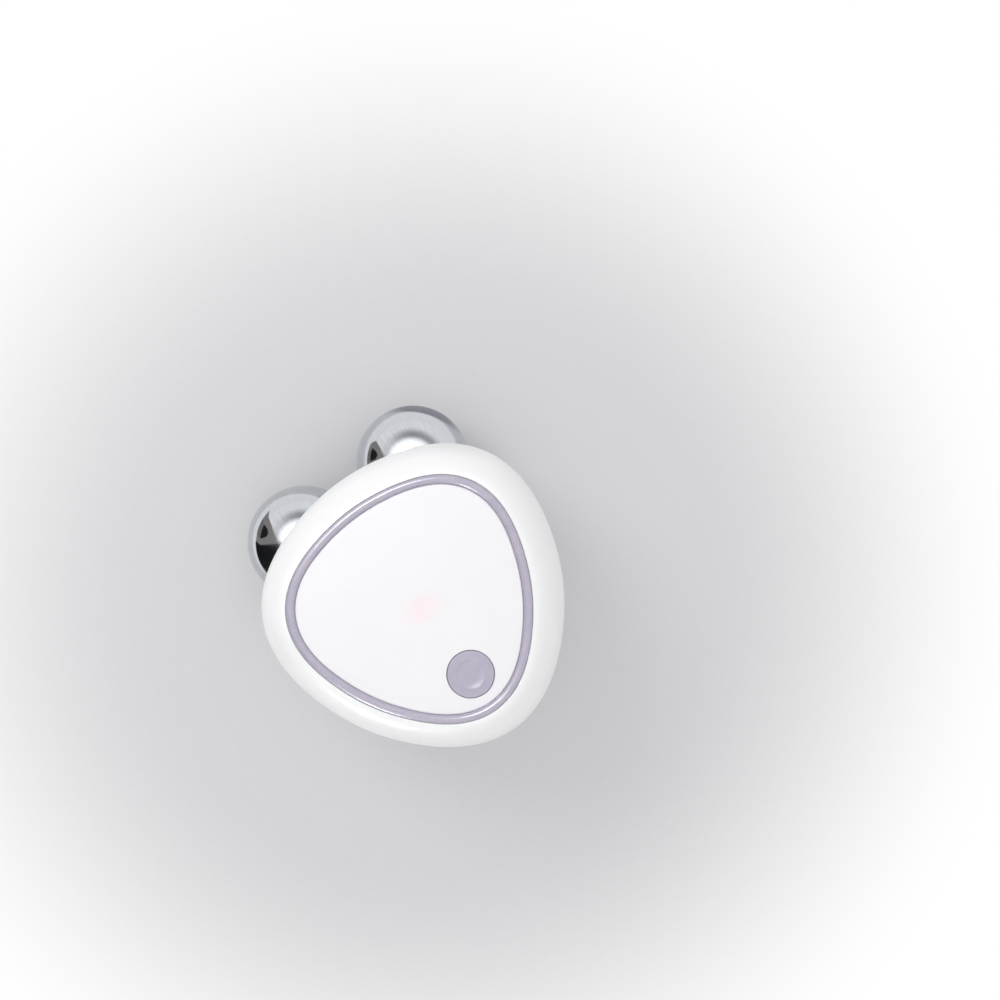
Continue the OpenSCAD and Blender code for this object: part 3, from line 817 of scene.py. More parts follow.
def plated_ball(name, base, place, tilt, brushed):
    """Chrome plate with fine hairlines that fan out from the screw's pole."""
    made, w, shader = material(name)
    turn = Euler((-tilt, 0, 0))
    own = place_on(w, move=tuple(-(turn.to_matrix() @ place)), turn=tuple(turn))
    x, y, z = w.parts(own)
    round_arc = w.times(w.math("ARCTAN2", y, x), BALL_R)
    hair = w.point(round_arc, w.times(z, 0.05), 0.0)
    lines = noise(w, hair, 0.35 * MM, detail=3, roughness=0.7)
    smears = noise(w, own, 5 * MM)
    axis = Vector((0, 0, 1))
    axis.rotate(Euler((tilt, 0, 0)))
    facing = w.node("ShaderNodeNewGeometry").outputs["Normal"]
    across = w.vector("NORMALIZE", w.vector("CROSS_PRODUCT", facing, tuple(axis)))
    rough = ramp(w, z, 0.15 * BALL_R, 0.75 * BALL_R, 0.05, 0.17)
    feed(w, shader, metallic=1.0, anisotropic=brushed, tangent=across,
         base_color=blended(w, spread(w, lines, 0, 1), tinted(base, 0.9), tinted(base, 1.04)),
         roughness=w.times(rough, spread(w, smears, 0.85, 1.15)), normal=bump(w, lines, 0.0012 * MM))
    return made


def finish(name):
    """One of the finishes, made when it is first asked for."""
    tones = bpy.context.scene.toner_finish
    lilac = {"mottling": 0.02, "second": tones.blush, "where": patches}
    recipes = {
        "shell_white": (moulded, tones.shell, {"rough": 0.42, "coat": 0.1}),
        # The face's second colour is a painted glow over the indicator, not light that reaches it
        "face_white": (moulded, tones.face, {
            "rough": 0.5, "relief": 0.003 * MM, "grain": 0.35 * MM, "mottling": 0.006,
            "second": tones.glow, "where": painted_indicator_glow}),
        "lilac": (moulded, tones.lilac, {**lilac, "rough": 0.26, "coat": 0.8}),
        "lilac_satin": (moulded, tones.lilac, {**lilac, "rough": 0.36, "coat": 0.15}),
        "steel": (worked_metal, paint(196, 198, 202), {"stretch": (1, 1, 0.1)}),
        "brass": (worked_metal, paint(206, 176, 110), {"rough": 0.25}),
        "copper": (worked_metal, paint(200, 128, 92), {"rough": 0.3}),
        "battery_foil": (moulded, paint(196, 200, 206), {
            "rough": 0.32, "relief": 0.012 * MM, "second": paint(196, 138, 40), "where": taped}),
        "grey_rubber": (moulded, paint(120, 120, 126), {"rough": 0.75, "relief": 0.01 * MM}),
        "foam": (moulded, paint(58, 58, 60), {"rough": 0.95, "relief": 0.08 * MM, "grain": 0.4 * MM}),
        "board_green": (moulded, paint(28, 104, 70), {
            "rough": 0.35, "relief": 0.002 * MM, "grain": 0.3 * MM,
            "second": paint(46, 140, 92), "where": tracks}),
        "black_plastic": (moulded, paint(34, 34, 36), {"rough": 0.45}),
        "connector_ivory": (moulded, paint(238, 230, 208), {"rough": 0.5}),
        "wire_white": (moulded, paint(232, 232, 234), {"rough": 0.45}),
        "wire_red": (moulded, paint(190, 44, 44), {"rough": 0.45}),
        "wire_black": (moulded, paint(30, 30, 32), {"rough": 0.45}),
        "led_pink": (moulded, paint(255, 190, 205), {"rough": 0.2, "coat": 1.0}),
        "guide_clear": (moulded, paint(240, 226, 232), {"rough": 0.15, "coat": 0.6}),
        "ferrite": (moulded, paint(74, 74, 80), {"rough": 0.6, "relief": 0.02 * MM}),
        "ceramic": (moulded, paint(190, 158, 112), {"rough": 0.4}),
    }
    maker, base, settings = recipes[name]
    own_name = name + "_finish"
    return bpy.data.materials.get(own_name) or maker(own_name, base, **settings)


# ---- Sections and surfaces of the housing ----

def settle(piece, body, slot, *nodes):
    """Rides the piece on its body, in the place of its CAD nodes."""
    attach(piece, body)
    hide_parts(*nodes)
    return piece


def dress(piece, look, node, body="housing"):
    """Gives the piece one of the finishes and settles it in the place of its CAD node."""
    return settle(finished(piece, finish(look)), body, look, node)


def dome(inset, low, high, points):
    """Section of the upper shell between two angles in degrees, set in by inset."""
    seat_r = RING_R + bpy.context.scene.toner_face.ring_gap
    radii = (BODY_R - seat_r, SHOULDER_Z - inset - SEAM_Z)
    return arc((seat_r - inset, SEAM_Z), radii, low, high, points)


def dome_angle(z, inset):
    return math.degrees(math.asin((z - SEAM_Z) / (SHOULDER_Z - inset - SEAM_Z)))


def well_depth(points, radius):
    """How deep each point lies in the nearer ball's well: a dome over a straight well."""
    x = np.abs(points[..., 0]) - BALL_PLACE.x
    y = points[..., 1] - BALL_PLACE.y
    z = np.maximum(points[..., 2] - BALL_PLACE.z, 0)
    return radius - np.sqrt(x * x + y * y + z * z)


def bowl_depth(points, h, inset):
    """How far each point lies outside the bowl set in by inset."""
    rise = SEAM_Z - inset
    spread_r = BODY_R - inset - h.pad_r
    sine = np.clip((SEAM_Z - points[..., 2]) / rise, 0, 1 - 1e-6)
    cosine = np.sqrt(1 - sine * sine)
    y = points[..., 1] + h.belly_lean * (1 - cosine)
    radius = np.hypot(points[..., 0], y)
    angle = np.arctan2(points[..., 0], -y)
    slope = cosine / np.sqrt(cosine ** 2 + (spread_r / rise * sine) ** 2)
    return (radius - outline_radius(h.pad_r + spread_r * cosine, angle)) * slope


def smooth_max(a, b, k):
    return np.maximum(a, b) + np.maximum(k - np.abs(a - b), 0) ** 2 / (4 * k)


# The bowl's points first march into the wells, then those near a well are evened out along the surface
MARCH_ROUNDS, MARCH_SHARE = 60, 0.8
RELAX_ROUNDS, RELAX_SHARE = 120, 0.7
RELAX_REACH = 4 * MM


def press_wells(rows, h, inset, radius, fillet):
    """Presses the rows of the bowl into the balls' wells, with a rounded rim, and evens them out."""
    def field(p):
        return smooth_max(bowl_depth(p, h, inset), well_depth(p, radius), fillet)

    def slope(p):
        return np.stack([(field(p + NEAR * axis) - field(p - NEAR * axis)) / (2 * NEAR)
                         for axis in np.eye(3)], axis=-1)

    side = np.where(rows[..., :1] < 0, -1.0, 1.0)
    out = np.array([BALL_PLACE.x, BALL_PLACE.y + h.belly_lean / 2, 0])
    ahead, below = 9 * MM, 8 * MM
    front = np.array(BALL_PLACE) + ahead * out / np.linalg.norm(out) - np.array([0, 0, below])
    way = rows - np.concatenate([side * front[0], 0 * side + front[1], 0 * side + front[2]], axis=-1)
    way /= np.linalg.norm(way, axis=-1, keepdims=True)
    points = rows.copy()
    inside = well_depth(rows, radius) > -fillet
    for _ in range(MARCH_ROUNDS):
        outside = np.maximum(field(points[inside]), 0)[:, None]
        points[inside] += way[inside] * outside * MARCH_SHARE

    near = well_depth(rows, radius) > -RELAX_REACH
    near[:2] = near[-2:] = False
    r, c = np.argwhere(near).T
    columns = rows.shape[1]
    for _ in range(RELAX_ROUNDS):
        mean = (points[r - 1, c] + points[r + 1, c] + points[r, (c - 1) % columns]
                + points[r, (c + 1) % columns]) / 4
        pulled = points[r, c] + RELAX_SHARE * (mean - points[r, c])
        for _ in range(2):
            gradient = slope(pulled)
            pulled -= gradient * (field(pulled) / np.maximum((gradient ** 2).sum(-1), 0.1))[:, None]
        points[r, c] = pulled
    return points


def bowl_rows(h, a, inset, points):
    """Rows of the bowl from the pad's edge up to the seam, set in by inset."""
    t = np.radians(np.linspace(90, 0, points))[:, None]
    r = h.pad_r + (BODY_R - inset - h.pad_r) * np.cos(t)
    z = SEAM_Z - (SEAM_Z - inset) * np.sin(t)
    return outline_points(r + 0 * a, z, h.belly_lean * (1 - np.cos(t)), a[None, :])


def pad_rows(h, a, z, points):
    """Rows of the flat pad, from its middle out to its edge."""
    r = np.linspace(0, h.pad_r, points)[:-1, None]
    return outline_points(r + 0 * a, z, h.belly_lean, a[None, :])


def plain_rows(section, a):
    return outline_points(section[:, :1] + 0 * a, section[:, 1:], 0, a[None, :])


def body_core(h, inset):
    """The body's whole volume, set in by inset: trims what is moulded inside the shells."""
    a = round_angles(h.steps // 2)
    top = dome(inset, 0, 90, 25)[1:]
    rows = np.concatenate([pad_rows(h, a, inset, 8), bowl_rows(h, a, inset, 49),
                           plain_rows(np.concatenate([top, [(0, top[-1, 1])]]), a)])
    return link("body_core", rows_mesh("body_core", rows))


def upper_section(h, f):
    """Section of the upper shell: seam, skin, ring seat, shelf, inner wall and lap."""
    seat_r = RING_R + f.ring_gap
    edge = 0.15 * MM
    lap_r = BODY_R - h.wall / 2 + h.lap_gap
    lap_z = LAP_TOP + h.lap_gap
    shelf_low = SHELF_Z - h.shelf_t
    seam = arc((BODY_R - h.seam_edge, SEAM_Z + h.seam_edge), (h.seam_edge, h.seam_edge), -90, 0, 6)
    skin = dome(0, dome_angle(SEAM_Z + h.seam_edge, 0), 88.7, 70)[1:]
    lip = arc((seat_r + edge, SHOULDER_Z - edge), (edge, edge), 90, 180, 5)
    shelf = [(seat_r, SHELF_Z), (h.shelf_r, SHELF_Z), (h.shelf_r, shelf_low)]
    inside = dome(h.wall, dome_angle(shelf_low, h.wall), dome_angle(lap_z, h.wall), 14)
    return np.concatenate([seam, skin, lip, shelf, inside, [(lap_r, lap_z), (lap_r, SEAM_Z)]])


def lower_skin(h):
    """The lower shell's skin: pad, bowl with the two wells, seam, lap joint and inner wall."""
    a = round_angles(h.steps)
    well = BALL_R + h.seat_gap
    outer = press_wells(bowl_rows(h, a, 0, 97), h, 0, well, h.rim_fillet)
    inner = press_wells(bowl_rows(h, a, h.wall, 49), h, h.wall, well + h.seat_wall, 1.5 * MM)
    edge = h.seam_edge
    seam = np.concatenate([
        arc((BODY_R - edge, SEAM_Z - edge), (edge, edge), 0, 90, 6),
        [(BODY_R - h.wall / 2, SEAM_Z), (BODY_R - h.wall / 2, LAP_TOP), (BODY_R - h.wall, LAP_TOP)]])
    rows = np.concatenate([pad_rows(h, a, 0, 12), outer[:-1], plain_rows(seam, a), inner[::-1],
                           pad_rows(h, a, h.wall, 6)[::-1]])
    return link("lower_shell_skin", rows_mesh("lower_shell_skin", rows))


def port_tool():
    """What the charge port takes out of both shells: a slot through the wall and a shallow recess."""
    z = (SOCKET_LOW.z + SOCKET_HIGH.z) / 2
    clear = 0.3 * MM
    slot = (SOCKET_HIGH.x - SOCKET_LOW.x + 2 * clear,
            SOCKET_HIGH.z - SOCKET_LOW.z + 2 * clear, 0.8 * MM)
    recess = (11.4 * MM, 6 * MM, 2.4 * MM)
    front = BODY_R + 6 * MM
    return fused([moved(prism("port", round_slot(*outline), -back, front), shift(0, 0, z), UPRIGHT)
                  for outline, back in ((slot, SOCKET_HIGH.y + MM), (recess, SOCKET_LOW.y))])


def gussets(spots, thick, low, high):
    """Ribs that run outwards from these plan points."""
    reach = 1.25
    return [bar(spot, (reach * spot[0], reach * spot[1]), thick, low, high) for spot in spots]


def cradle(h):
    """Ribs that hold the battery cell and its foam pad."""
    middle = (CELL_LOW + CELL_HIGH) / 2
    out = (CELL_HIGH - CELL_LOW) / 2 + Vector((1, 1, 0)) * (0.3 * MM + h.rib_t / 2)
    top, pitch, end_reach, floor_reach = CELL_LOW.z + 4 * MM, 6 * MM, 8 * MM, 12 * MM
    lines = []
    for side in (-1, 1):
        x, y = side * out.x, middle.y + side * out.y
        lines += [((x, middle.y - pitch), (x, middle.y + pitch), top),
                  ((-end_reach, y), (end_reach, y), top)]
    for step in (-1, 0, 1):
        y = middle.y + step * pitch
        lines.append(((-floor_reach, y), (floor_reach, y), PAD_LOW.z))
    return joined("cradle", [bar(a, b, h.rib_t, 0, high) for a, b, high in lines])


def screw(facts, pitch):
    """A pan-head screw with its head's underside at the origin and its rolled thread towards -Z."""
    length, head_h = abs(facts.under - facts.tip), abs(facts.end - facts.under)
    shank_r, head_r = facts.shank_r, facts.head_r
    a = round_angles(32)
    z = np.linspace(-length, 0, int(length / pitch * 8))[:, None]
    wave = np.abs((z / pitch - a / (2 * math.pi)) % 1 * 2 - 1)
    point = np.clip((z + length) / (1.2 * shank_r), 0.25, 1)
    r = (shank_r - 0.22 * shank_r * wave) * point
    edge = head_h * 0.45
    head = np.concatenate([[(head_r, 0)], arc((head_r - edge, head_h - edge), (edge, edge), 0, 90, 8),
                           [(0, head_h)]])
    tip_row = np.zeros((1, len(a), 3)) - [0, 0, length]
    rows = np.concatenate([tip_row, spun(r, z, a), spun(head[:, :1], head[:, 1:], a)])
    long, wide = 1.2 * head_r, 0.216 * head_r
    cross = [prism("cross", round_slot(*sides, 0.1 * MM, 3), edge, head_h * 1.5)
             for sides in ((long, wide), (wide, long))]
    return combine(link("screw", rows_mesh("screw", rows)), fused(cross))


# ---- Inner parts ----

TOWER_TOP = SEAM_Z + 0.5 * MM
CASE_SEAT = 12 * MM  # height of the seats under the case screws' heads
SHELF_BITE = 0.3 * MM  # how far what is moulded inside the shell reaches into the shelf
LUG_T = 0.6 * MM
CASE_BORE_R, BOARD_BORE_R, BORE_TOP = 1.26 * MM, 1.01 * MM, 35 * MM  # where the threads bite
CASE_PASS_R, BOARD_PASS_R, TOWER_PASS_R = 1.4 * MM, 1.1 * MM, 3.2 * MM  # what passes through freely
PAD_IN = 8 * MM  # how far from a ball's centre the pad under its screw begins
# Corners of the leads' curves in millimetres, for the right side
ELECTRODE_ROUTE = ((7.85, 13.37, 24.03), (5.45, 13.37, 24.03), (5.8, 6, 24.8), (5.8, 6, 28.4))
BATTERY_ROUTE = ((1.3, 6, 13.4), (1.3, 11, 13.4), (1.3, 12, 16.2), (1.3, 12, 21.8))


def in_metres(route, side):
    return [(side * x * MM, y * MM, z * MM) for x, y, z in route]


def chip(node, angles, per_side, pitch, leg_w):
    """A moulded chip with bent legs along its sides; angles are the ways that the legs point."""
    low, high = (Vector(v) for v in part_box(node))
    middle, half = (low + high) / 2, (high - low) / 2
    reach, thick, rise, root = 0.6 * MM, 0.05 * MM, half.z, -0.1 * MM
    inset = Vector((reach if 0 in angles else 0, reach if 90 in angles else 0, 0))
    clear = Vector((0, 0, 0.1 * MM))
    body = soft_block(node + "_case", low + inset + clear, high - inset, 0.15 * MM, 0.06 * MM)
    mark = low + inset + Vector((1, 1, 0)) * 0.7 * MM
    combine(body, round_bar(mark, 0.25 * MM, high.z - 0.04 * MM, high.z + MM, 24))
    outline = [(root, rise - thick), (0.2 * MM, rise - thick), (0.3 * MM, 0), (reach, 0),
               (reach, 2 * thick), (0.36 * MM, 2 * thick),
               (0.26 * MM, rise + thick), (root, rise + thick)]
    leg = moved(prism("leg", outline, -leg_w / 2, leg_w / 2), UPRIGHT)
    spots, turns = [], []
    for angle in angles:
        facing = Vector((math.cos(math.radians(angle)), math.sin(math.radians(angle)), 0))
        along = Vector((-facing.y, facing.x, 0))
        out = abs(facing.x) * half.x + abs(facing.y) * half.y - reach
        centre = Vector((middle.x, middle.y, low.z)) + out * facing
        for i in range(per_side):
            spots.append(centre + (i - (per_side - 1) / 2) * pitch * along)
            turns.append((0, 0, math.radians(angle)))
    legs = repeated(node + "_legs", leg, spots, finish("steel"), turns)
    whole = joined(node + "_chip", [finished(body, finish("black_plastic")), legs])
    return settle(whole, "housing", "black_plastic", node)


def capacitors():
    """Ceramic capacitors with plated ends."""
    low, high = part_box("capacitors")
    wide, long, middle = high.z - low.z, high.y - low.y, (low.y + high.y) / 2
    pitch = (high.x - low.x - wide) / 3
    spots = [(low.x + wide / 2 + i * pitch, middle, low.z) for i in range(4)]
    end, slim, foot = long / 4, 0.94, 0.03
    x, out = wide / 2 * slim, (long - end) / 2
    body = soft_block("body", (-x, -out, wide * foot), (x, out, wide * (1 - foot)), 0.1 * MM, 0.1 * MM)
    ends = joined("ends", [
        soft_block("end", (-wide / 2, y - end / 2, 0), (wide / 2, y + end / 2, wide),
                   0.15 * MM, 0.12 * MM) for y in (-out, out)])
    parts = [repeated("capacitor_bodies", body, spots, finish("ceramic")),
             repeated("capacitor_ends", ends, spots, finish("steel"))]
    settle(joined("capacitors_plated", parts), "housing", "ceramic", "capacitors")


def hoop(radius, wire_r):
    """One turn of wire about Z."""
    t = round_angles(12)[:, None]
    rows = spun(radius + wire_r * np.cos(t), wire_r * np.sin(t), round_angles(64))
    return link("hoop", grid_mesh("hoop", rows, loop=True))


def coil(wire_r):
    """A ferrite drum with its winding."""
    low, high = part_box("boost_inductor")
    middle, r = (low + high) / 2, (high.x - low.x) / 2
    brim, core, edge = 0.6 * MM, 2.3 * MM, 0.12 * MM
    section = np.concatenate([
        arc((r - edge, low.z + edge), (edge, edge), -90, 0, 5),
        [(r, low.z + brim), (core, low.z + brim), (core, high.z - brim), (r, high.z - brim)],
        arc((r - edge, high.z - edge), (edge, edge), 0, 90, 5)])
    drum = finished(moved(turned("drum", section), shift(middle.x, middle.y, 0)), finish("ferrite"))
    turns = int((high.z - low.z - 2 * brim) / (2 * wire_r))
    first = low.z + brim + wire_r
    spots = [(middle.x, middle.y, first + 2 * wire_r * i) for i in range(turns)]
    layers = joined("layers", [hoop(core + wire_r * (1 + 2 * i), wire_r) for i in range(2)])
    winding = repeated("winding", layers, spots, finish("copper"))
    settle(joined("boost_coil", [drum, winding]), "housing", "ferrite", "boost_inductor")


def rounded_outline(points, reach, steps=5):
    """The outline with every corner rounded off from a reach away."""
    points = np.array(points)
    ring = []
    for before, here, after in zip(np.roll(points, 1, 0), points, np.roll(points, -1, 0)):
        start = here + reach * (before - here) / np.linalg.norm(before - here)
        end = here + reach * (after - here) / np.linalg.norm(after - here)
        for t in np.linspace(0, 1, steps):
            ring.append((1 - t) ** 2 * start + 2 * t * (1 - t) * here + t * t * end)
    return ring


def socket():
    """The charge socket: a drawn metal cup, its tongue and the contacts on it."""
    wall = 0.3 * MM
    middle = (SOCKET_LOW + SOCKET_HIGH) / 2
    half = (SOCKET_HIGH - SOCKET_LOW) / 2
    back, front = -SOCKET_HIGH.y, -SOCKET_LOW.y

    def tube(inset, low, high):
        x, y = half.x - inset, half.z - inset
        corners = [(-x, y), (-x, -0.1 * y), (MM - x, -y), (x - MM, -y), (x, -0.1 * y), (x, y)]
        outline = rounded_outline(corners, 0.35 * MM)
        return moved(prism("cup", outline, low, high), shift(0, 0, middle.z), UPRIGHT)

    cup = combine(tube(0, back, front), tube(wall, back + wall, front + MM))
    tongue = soft_block("tongue", (-1.7 * MM, SOCKET_LOW.y + 0.5 * MM, middle.z - 0.3 * MM),
                        (1.7 * MM, SOCKET_HIGH.y - wall, middle.z + 0.3 * MM), 0.1 * MM, 0.08 * MM)
    strip = soft_block("strip", (-0.16 * MM, -1.6 * MM, -0.05 * MM), (0.16 * MM, 1.6 * MM, 0.05 * MM),
                       0.05 * MM, 0.02 * MM)
    spots = [((i - 2) * 0.65 * MM, SOCKET_LOW.y + 2.5 * MM, middle.z - 0.32 * MM) for i in range(5)]
    contacts = repeated("contacts", strip, spots, finish("brass"))
    whole = joined("charge_socket_cup", [finished(cup, finish("steel")), contacts,
                                         finished(tongue, finish("black_plastic"))])
    settle(whole, "housing", "steel", "charge_socket")


def board():
    """The circuit board, cut for the towers and the screws."""
    a = round_angles(240)
    outline = outline_points(BOARD_R + 0 * a, 0, 0, a)[:, :2]
    panel = prism("circuit_board_panel", [tuple(p) for p in outline], BOARD_LOW.z, BOARD_HIGH.z)
    holes = [round_bar(spot, radius, BOARD_LOW.z - MM, BOARD_HIGH.z + MM)
             for spots, radius in ((CASE_SPOTS, TOWER_PASS_R), (BOARD_SPOTS, BOARD_PASS_R))
             for spot in spots]
    dress(combine(panel, joined("holes", holes)), "board_green", "circuit_board")


def indicator():
    """The indicator: a white base and a tinted lens."""
    low, high = (Vector(v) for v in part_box("indicator_led"))
    split, rim = Vector((0, 0, (high.z - low.z) * 0.55)), Vector((1, 1, 0)) * 0.25 * MM
    base = soft_block("base", low, (high.x, high.y, low.z + split.z), 0.2 * MM, 0.08 * MM)
    lens = soft_block("lens", low + rim + split * 0.9, high - rim, 0.4 * MM, 0.35 * MM)
    whole = joined("indicator_lamp", [finished(base, finish("wire_white")),
                                      finished(lens, finish("led_pink"))])
    settle(whole, "housing", "led_pink", "indicator_led")


# ---- Operators ----

class ToneOperator:
    """What the operators share."""
    bl_options = {"REGISTER", "UNDO"}


class TONER_OT_shells(ToneOperator, bpy.types.Operator):
    """Make the upper and lower shells"""
    bl_idname = "toner.shells"
    bl_label = "Shells"

    def execute(self, context):
        h, f, b = context.scene.toner_housing, context.scene.toner_face, context.scene.toner_balls
        shelf_low = SHELF_Z - h.shelf_t
        grip = shelf_low + SHELF_BITE
        upper = swept("upper_shell_skin", upper_section(h, f), True, finish("shell_white"), h.steps)
        inner = fused([round_bar(spot, h.tower_r, TOWER_TOP, grip) for spot in CASE_SPOTS]
                      + [round_bar(spot, h.boss_r, BOARD_HIGH.z, grip) for spot in BOARD_SPOTS]
                      + gussets(CASE_SPOTS + BOARD_SPOTS, h.rib_t, BOARD_HIGH.z + MM, grip))
        combine(inner, body_core(h, h.wall / 2), "INTERSECT")
        combine(upper, inner, "UNION")
        bores = [round_bar(spot, CASE_BORE_R, SEAM_Z - MM, BORE_TOP) for spot in CASE_SPOTS]
        bores += [round_bar(spot, BOARD_BORE_R, BOARD_HIGH.z - MM, BORE_TOP) for spot in BOARD_SPOTS]
        room = round_bar(BUTTON_PLACE, FLANGE_R + 0.5 * MM, shelf_low - 6 * MM, SHELF_Z + 2 * NEAR, 192)
        combine(upper, joined("cuts", [*bores, room, port_tool()]))
        dress(upper, "shell_white", "upper_shell")

        lower = lower_skin(h)
        frames = [ball_frame(side, b.tilt) for side in (-1, 1)]
        pad_top = ball_screw(b.tilt).under - LUG_T
        pad = [(h.tower_r, PAD_IN), (b.pad_r, PAD_IN), (b.pad_r, pad_top)]
        pads = [moved(turned("pad", pad), turn) for turn in frames]
        inner = fused([round_bar(spot, h.tower_r, 0, TOWER_TOP) for spot in CASE_SPOTS]
                      + gussets(CASE_SPOTS, h.rib_t, 0, SEAM_Z - 4 * MM) + [cradle(h)] + pads)
        combine(inner, body_core(h, h.wall / 2), "INTERSECT")
        well = BALL_R + h.seat_gap + 0.3 * MM
        room = np.concatenate([[(well, -6 * MM)], arc((0, BALL_R), (well, well), 0, 89, 40)])
        wells = [moved(turned("well", room), shift(side * BALL_PLACE.x, BALL_PLACE.y, 0))
                 for side in (-1, 1)]
        combine(inner, joined("wells", wells))
        combine(lower, inner, "UNION")
        hole = [(h.counter_r, -MM), (h.counter_r, CASE_SEAT),
                (CASE_PASS_R, CASE_SEAT), (CASE_PASS_R, TOWER_TOP + MM)]
        seat = [(b.seat_hole_r, PAD_IN), (b.seat_hole_r, pad_top + MM)]
        cuts = [moved(turned("hole", hole), shift(*spot, 0)) for spot in CASE_SPOTS]
        cuts += [moved(turned("seat", seat), turn) for turn in frames]
        combine(lower, joined("cuts", [*cuts, port_tool()]))
        dress(lower, "shell_white", "lower_shell")
        return {"FINISHED"}


class TONER_OT_face(ToneOperator, bpy.types.Operator):
    """Make the trim ring and the face plate"""
    bl_idname = "toner.face"
    bl_label = "Face"

    def execute(self, context):
        h, f = context.scene.toner_housing, context.scene.toner_face
        mid_r, half = RING_R - RING_W / 2, RING_W / 2
        base = SHOULDER_Z - f.bead_drop
        bead = arc((mid_r, base), (half, RING_HIGH.z - base), 0, 180, 41)
        foot_r = mid_r - half - f.foot_reach
        foot = [(foot_r, base - 0.05 * MM), (foot_r, SHELF_Z), (mid_r + half, SHELF_Z)]
        ring = swept("trim_ring_bead", np.concatenate([bead, foot]), True, finish("lilac"), h.steps)
        settle(ring, "housing", "lilac", "trim_ring")

        edge = 0.25 * MM
        k = np.linspace(1 - edge / PLATE_R, 0, 60)
        top = np.stack([PLATE_R * k, SHOULDER_Z + f.crown * (1 - k * k)], axis=-1)
        section = np.concatenate([
            [(0, SHELF_Z), (PLATE_R / 2, SHELF_Z), (PLATE_R, SHELF_Z)],
            arc((PLATE_R - edge, SHOULDER_Z - edge), (edge, edge), 0, 90, 6)[:-1], top])
        plate = swept("face_plate_cover", section, False, finish("face_white"), h.steps)
        reach = outline_radius(h.shelf_r, math.radians(60)) - 0.25 * MM
        under = SHELF_Z - h.shelf_t - 0.1 * MM
        hook = [(reach, SHELF_Z + SHELF_BITE), (reach - MM, SHELF_Z + SHELF_BITE),
                (reach - MM, PLATE_LOW.z), (reach, PLATE_LOW.z), (reach + 0.8 * MM, under), (reach, under)]
        for angle in (-30, 90, 210):
            clip = prism("clip", hook, -f.clip_w / 2, f.clip_w / 2)
            combine(plate, moved(clip, Matrix.Rotation(math.radians(angle), 4, "Z"), UPRIGHT), "UNION")
        hole = round_bar(BUTTON_PLACE, CAP_R + f.button_clear, SHELF_Z - MM, PLATE_HIGH.z + MM, 192)
        wide, long = (GUIDE_HIGH - GUIDE_LOW)[:2]
        gap = 0.2 * MM
        outline = round_slot(wide + 2 * gap, long + 2 * gap, 0.5 * MM)
        recess = moved(prism("recess", outline, SHELF_Z - MM, PLATE_HIGH.z - MM),
                       shift(GUIDE_PLACE.x, GUIDE_PLACE.y, 0))
        combine(plate, joined("cuts", [hole, recess]))
        dress(plate, "face_white", "face_plate")
        return {"FINISHED"}


class TONER_OT_button(ToneOperator, bpy.types.Operator):
    """Make the power button and the switch under it"""
    bl_idname = "toner.button"
    bl_label = "Button"

    def execute(self, context):
        f = context.scene.toner_face
        cap_top, edge, lip, stem_r = BUTTON_HIGH.z, 0.3 * MM, 0.15 * MM, 1.6 * MM
        hollow_r, hollow_z = CAP_R - 1.2 * MM, cap_top - 1.4 * MM
        flange_low = SHELF_Z - 0.7 * MM
        k = np.linspace(1, 0.04, 24)
        dish = np.stack([DISH_R * k, cap_top - f.dish_depth * (1 - 0.8 * k ** 4)], axis=-1)
        section = np.concatenate([
            [(stem_r, BUTTON_LOW.z), (stem_r, hollow_z), (hollow_r, hollow_z), (hollow_r, flange_low),
             (FLANGE_R, flange_low), (FLANGE_R, SHELF_Z), (CAP_R, SHELF_Z)],
            arc((CAP_R - edge, cap_top - edge), (edge, edge), 0, 90, 10),
            arc((DISH_R + lip, cap_top - lip), (lip, lip), 90, 125, 7),
            dish])
        cap = moved(turned("power_button_cap", section, 192), shift(BUTTON_PLACE.x, BUTTON_PLACE.y, 0))
        settle(finished(cap, finish("lilac_satin")), "button", "lilac", "power_button")
        softened("switch_plunger", "black_plastic", 0.08 * MM, "plunger")
        softened("switch_body", "steel", 0.1 * MM)
        return {"FINISHED"}


class TONER_OT_balls(ToneOperator, bpy.types.Operator):
    """Make the two plated electrode balls, and finish their washers and terminals"""
    bl_idname = "toner.balls"
    bl_label = "Electrode balls"

    def execute(self, context):
        b = context.scene.toner_balls
        tones = context.scene.toner_finish
        inner = BALL_R - b.wall
        bore = math.degrees(math.asin(b.bore_r / BALL_R))
        boss = math.degrees(math.asin(b.boss_r / inner))
        section = np.concatenate([
            arc((0, 0), (BALL_R, BALL_R), -89, 90 - bore, 128),
            [(b.bore_r, BALL_R - b.boss_in), (b.boss_r, BALL_R - b.boss_in)],
            arc((0, 0), (inner, inner), 90 - boss, -89, 48)])
        for side, name in ((-1, "ball_left"), (1, "ball_right")):
            ball = moved(turned(name + "_shell", section, 160), ball_frame(side, b.tilt))
            place = Vector((side * BALL_PLACE.x, BALL_PLACE.y, BALL_PLACE.z))
            chrome = plated_ball(name + "_chrome", tones.chrome, place, b.tilt, b.brushed)
            settle(finished(ball, chrome), "housing", "ball_chrome", name)
        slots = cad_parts["ball_gaskets"].data.materials
        slots.clear()
        slots.append(finish("grey_rubber"))
        softened("ball_lugs", "brass", 0.08 * MM)
        return {"FINISHED"}


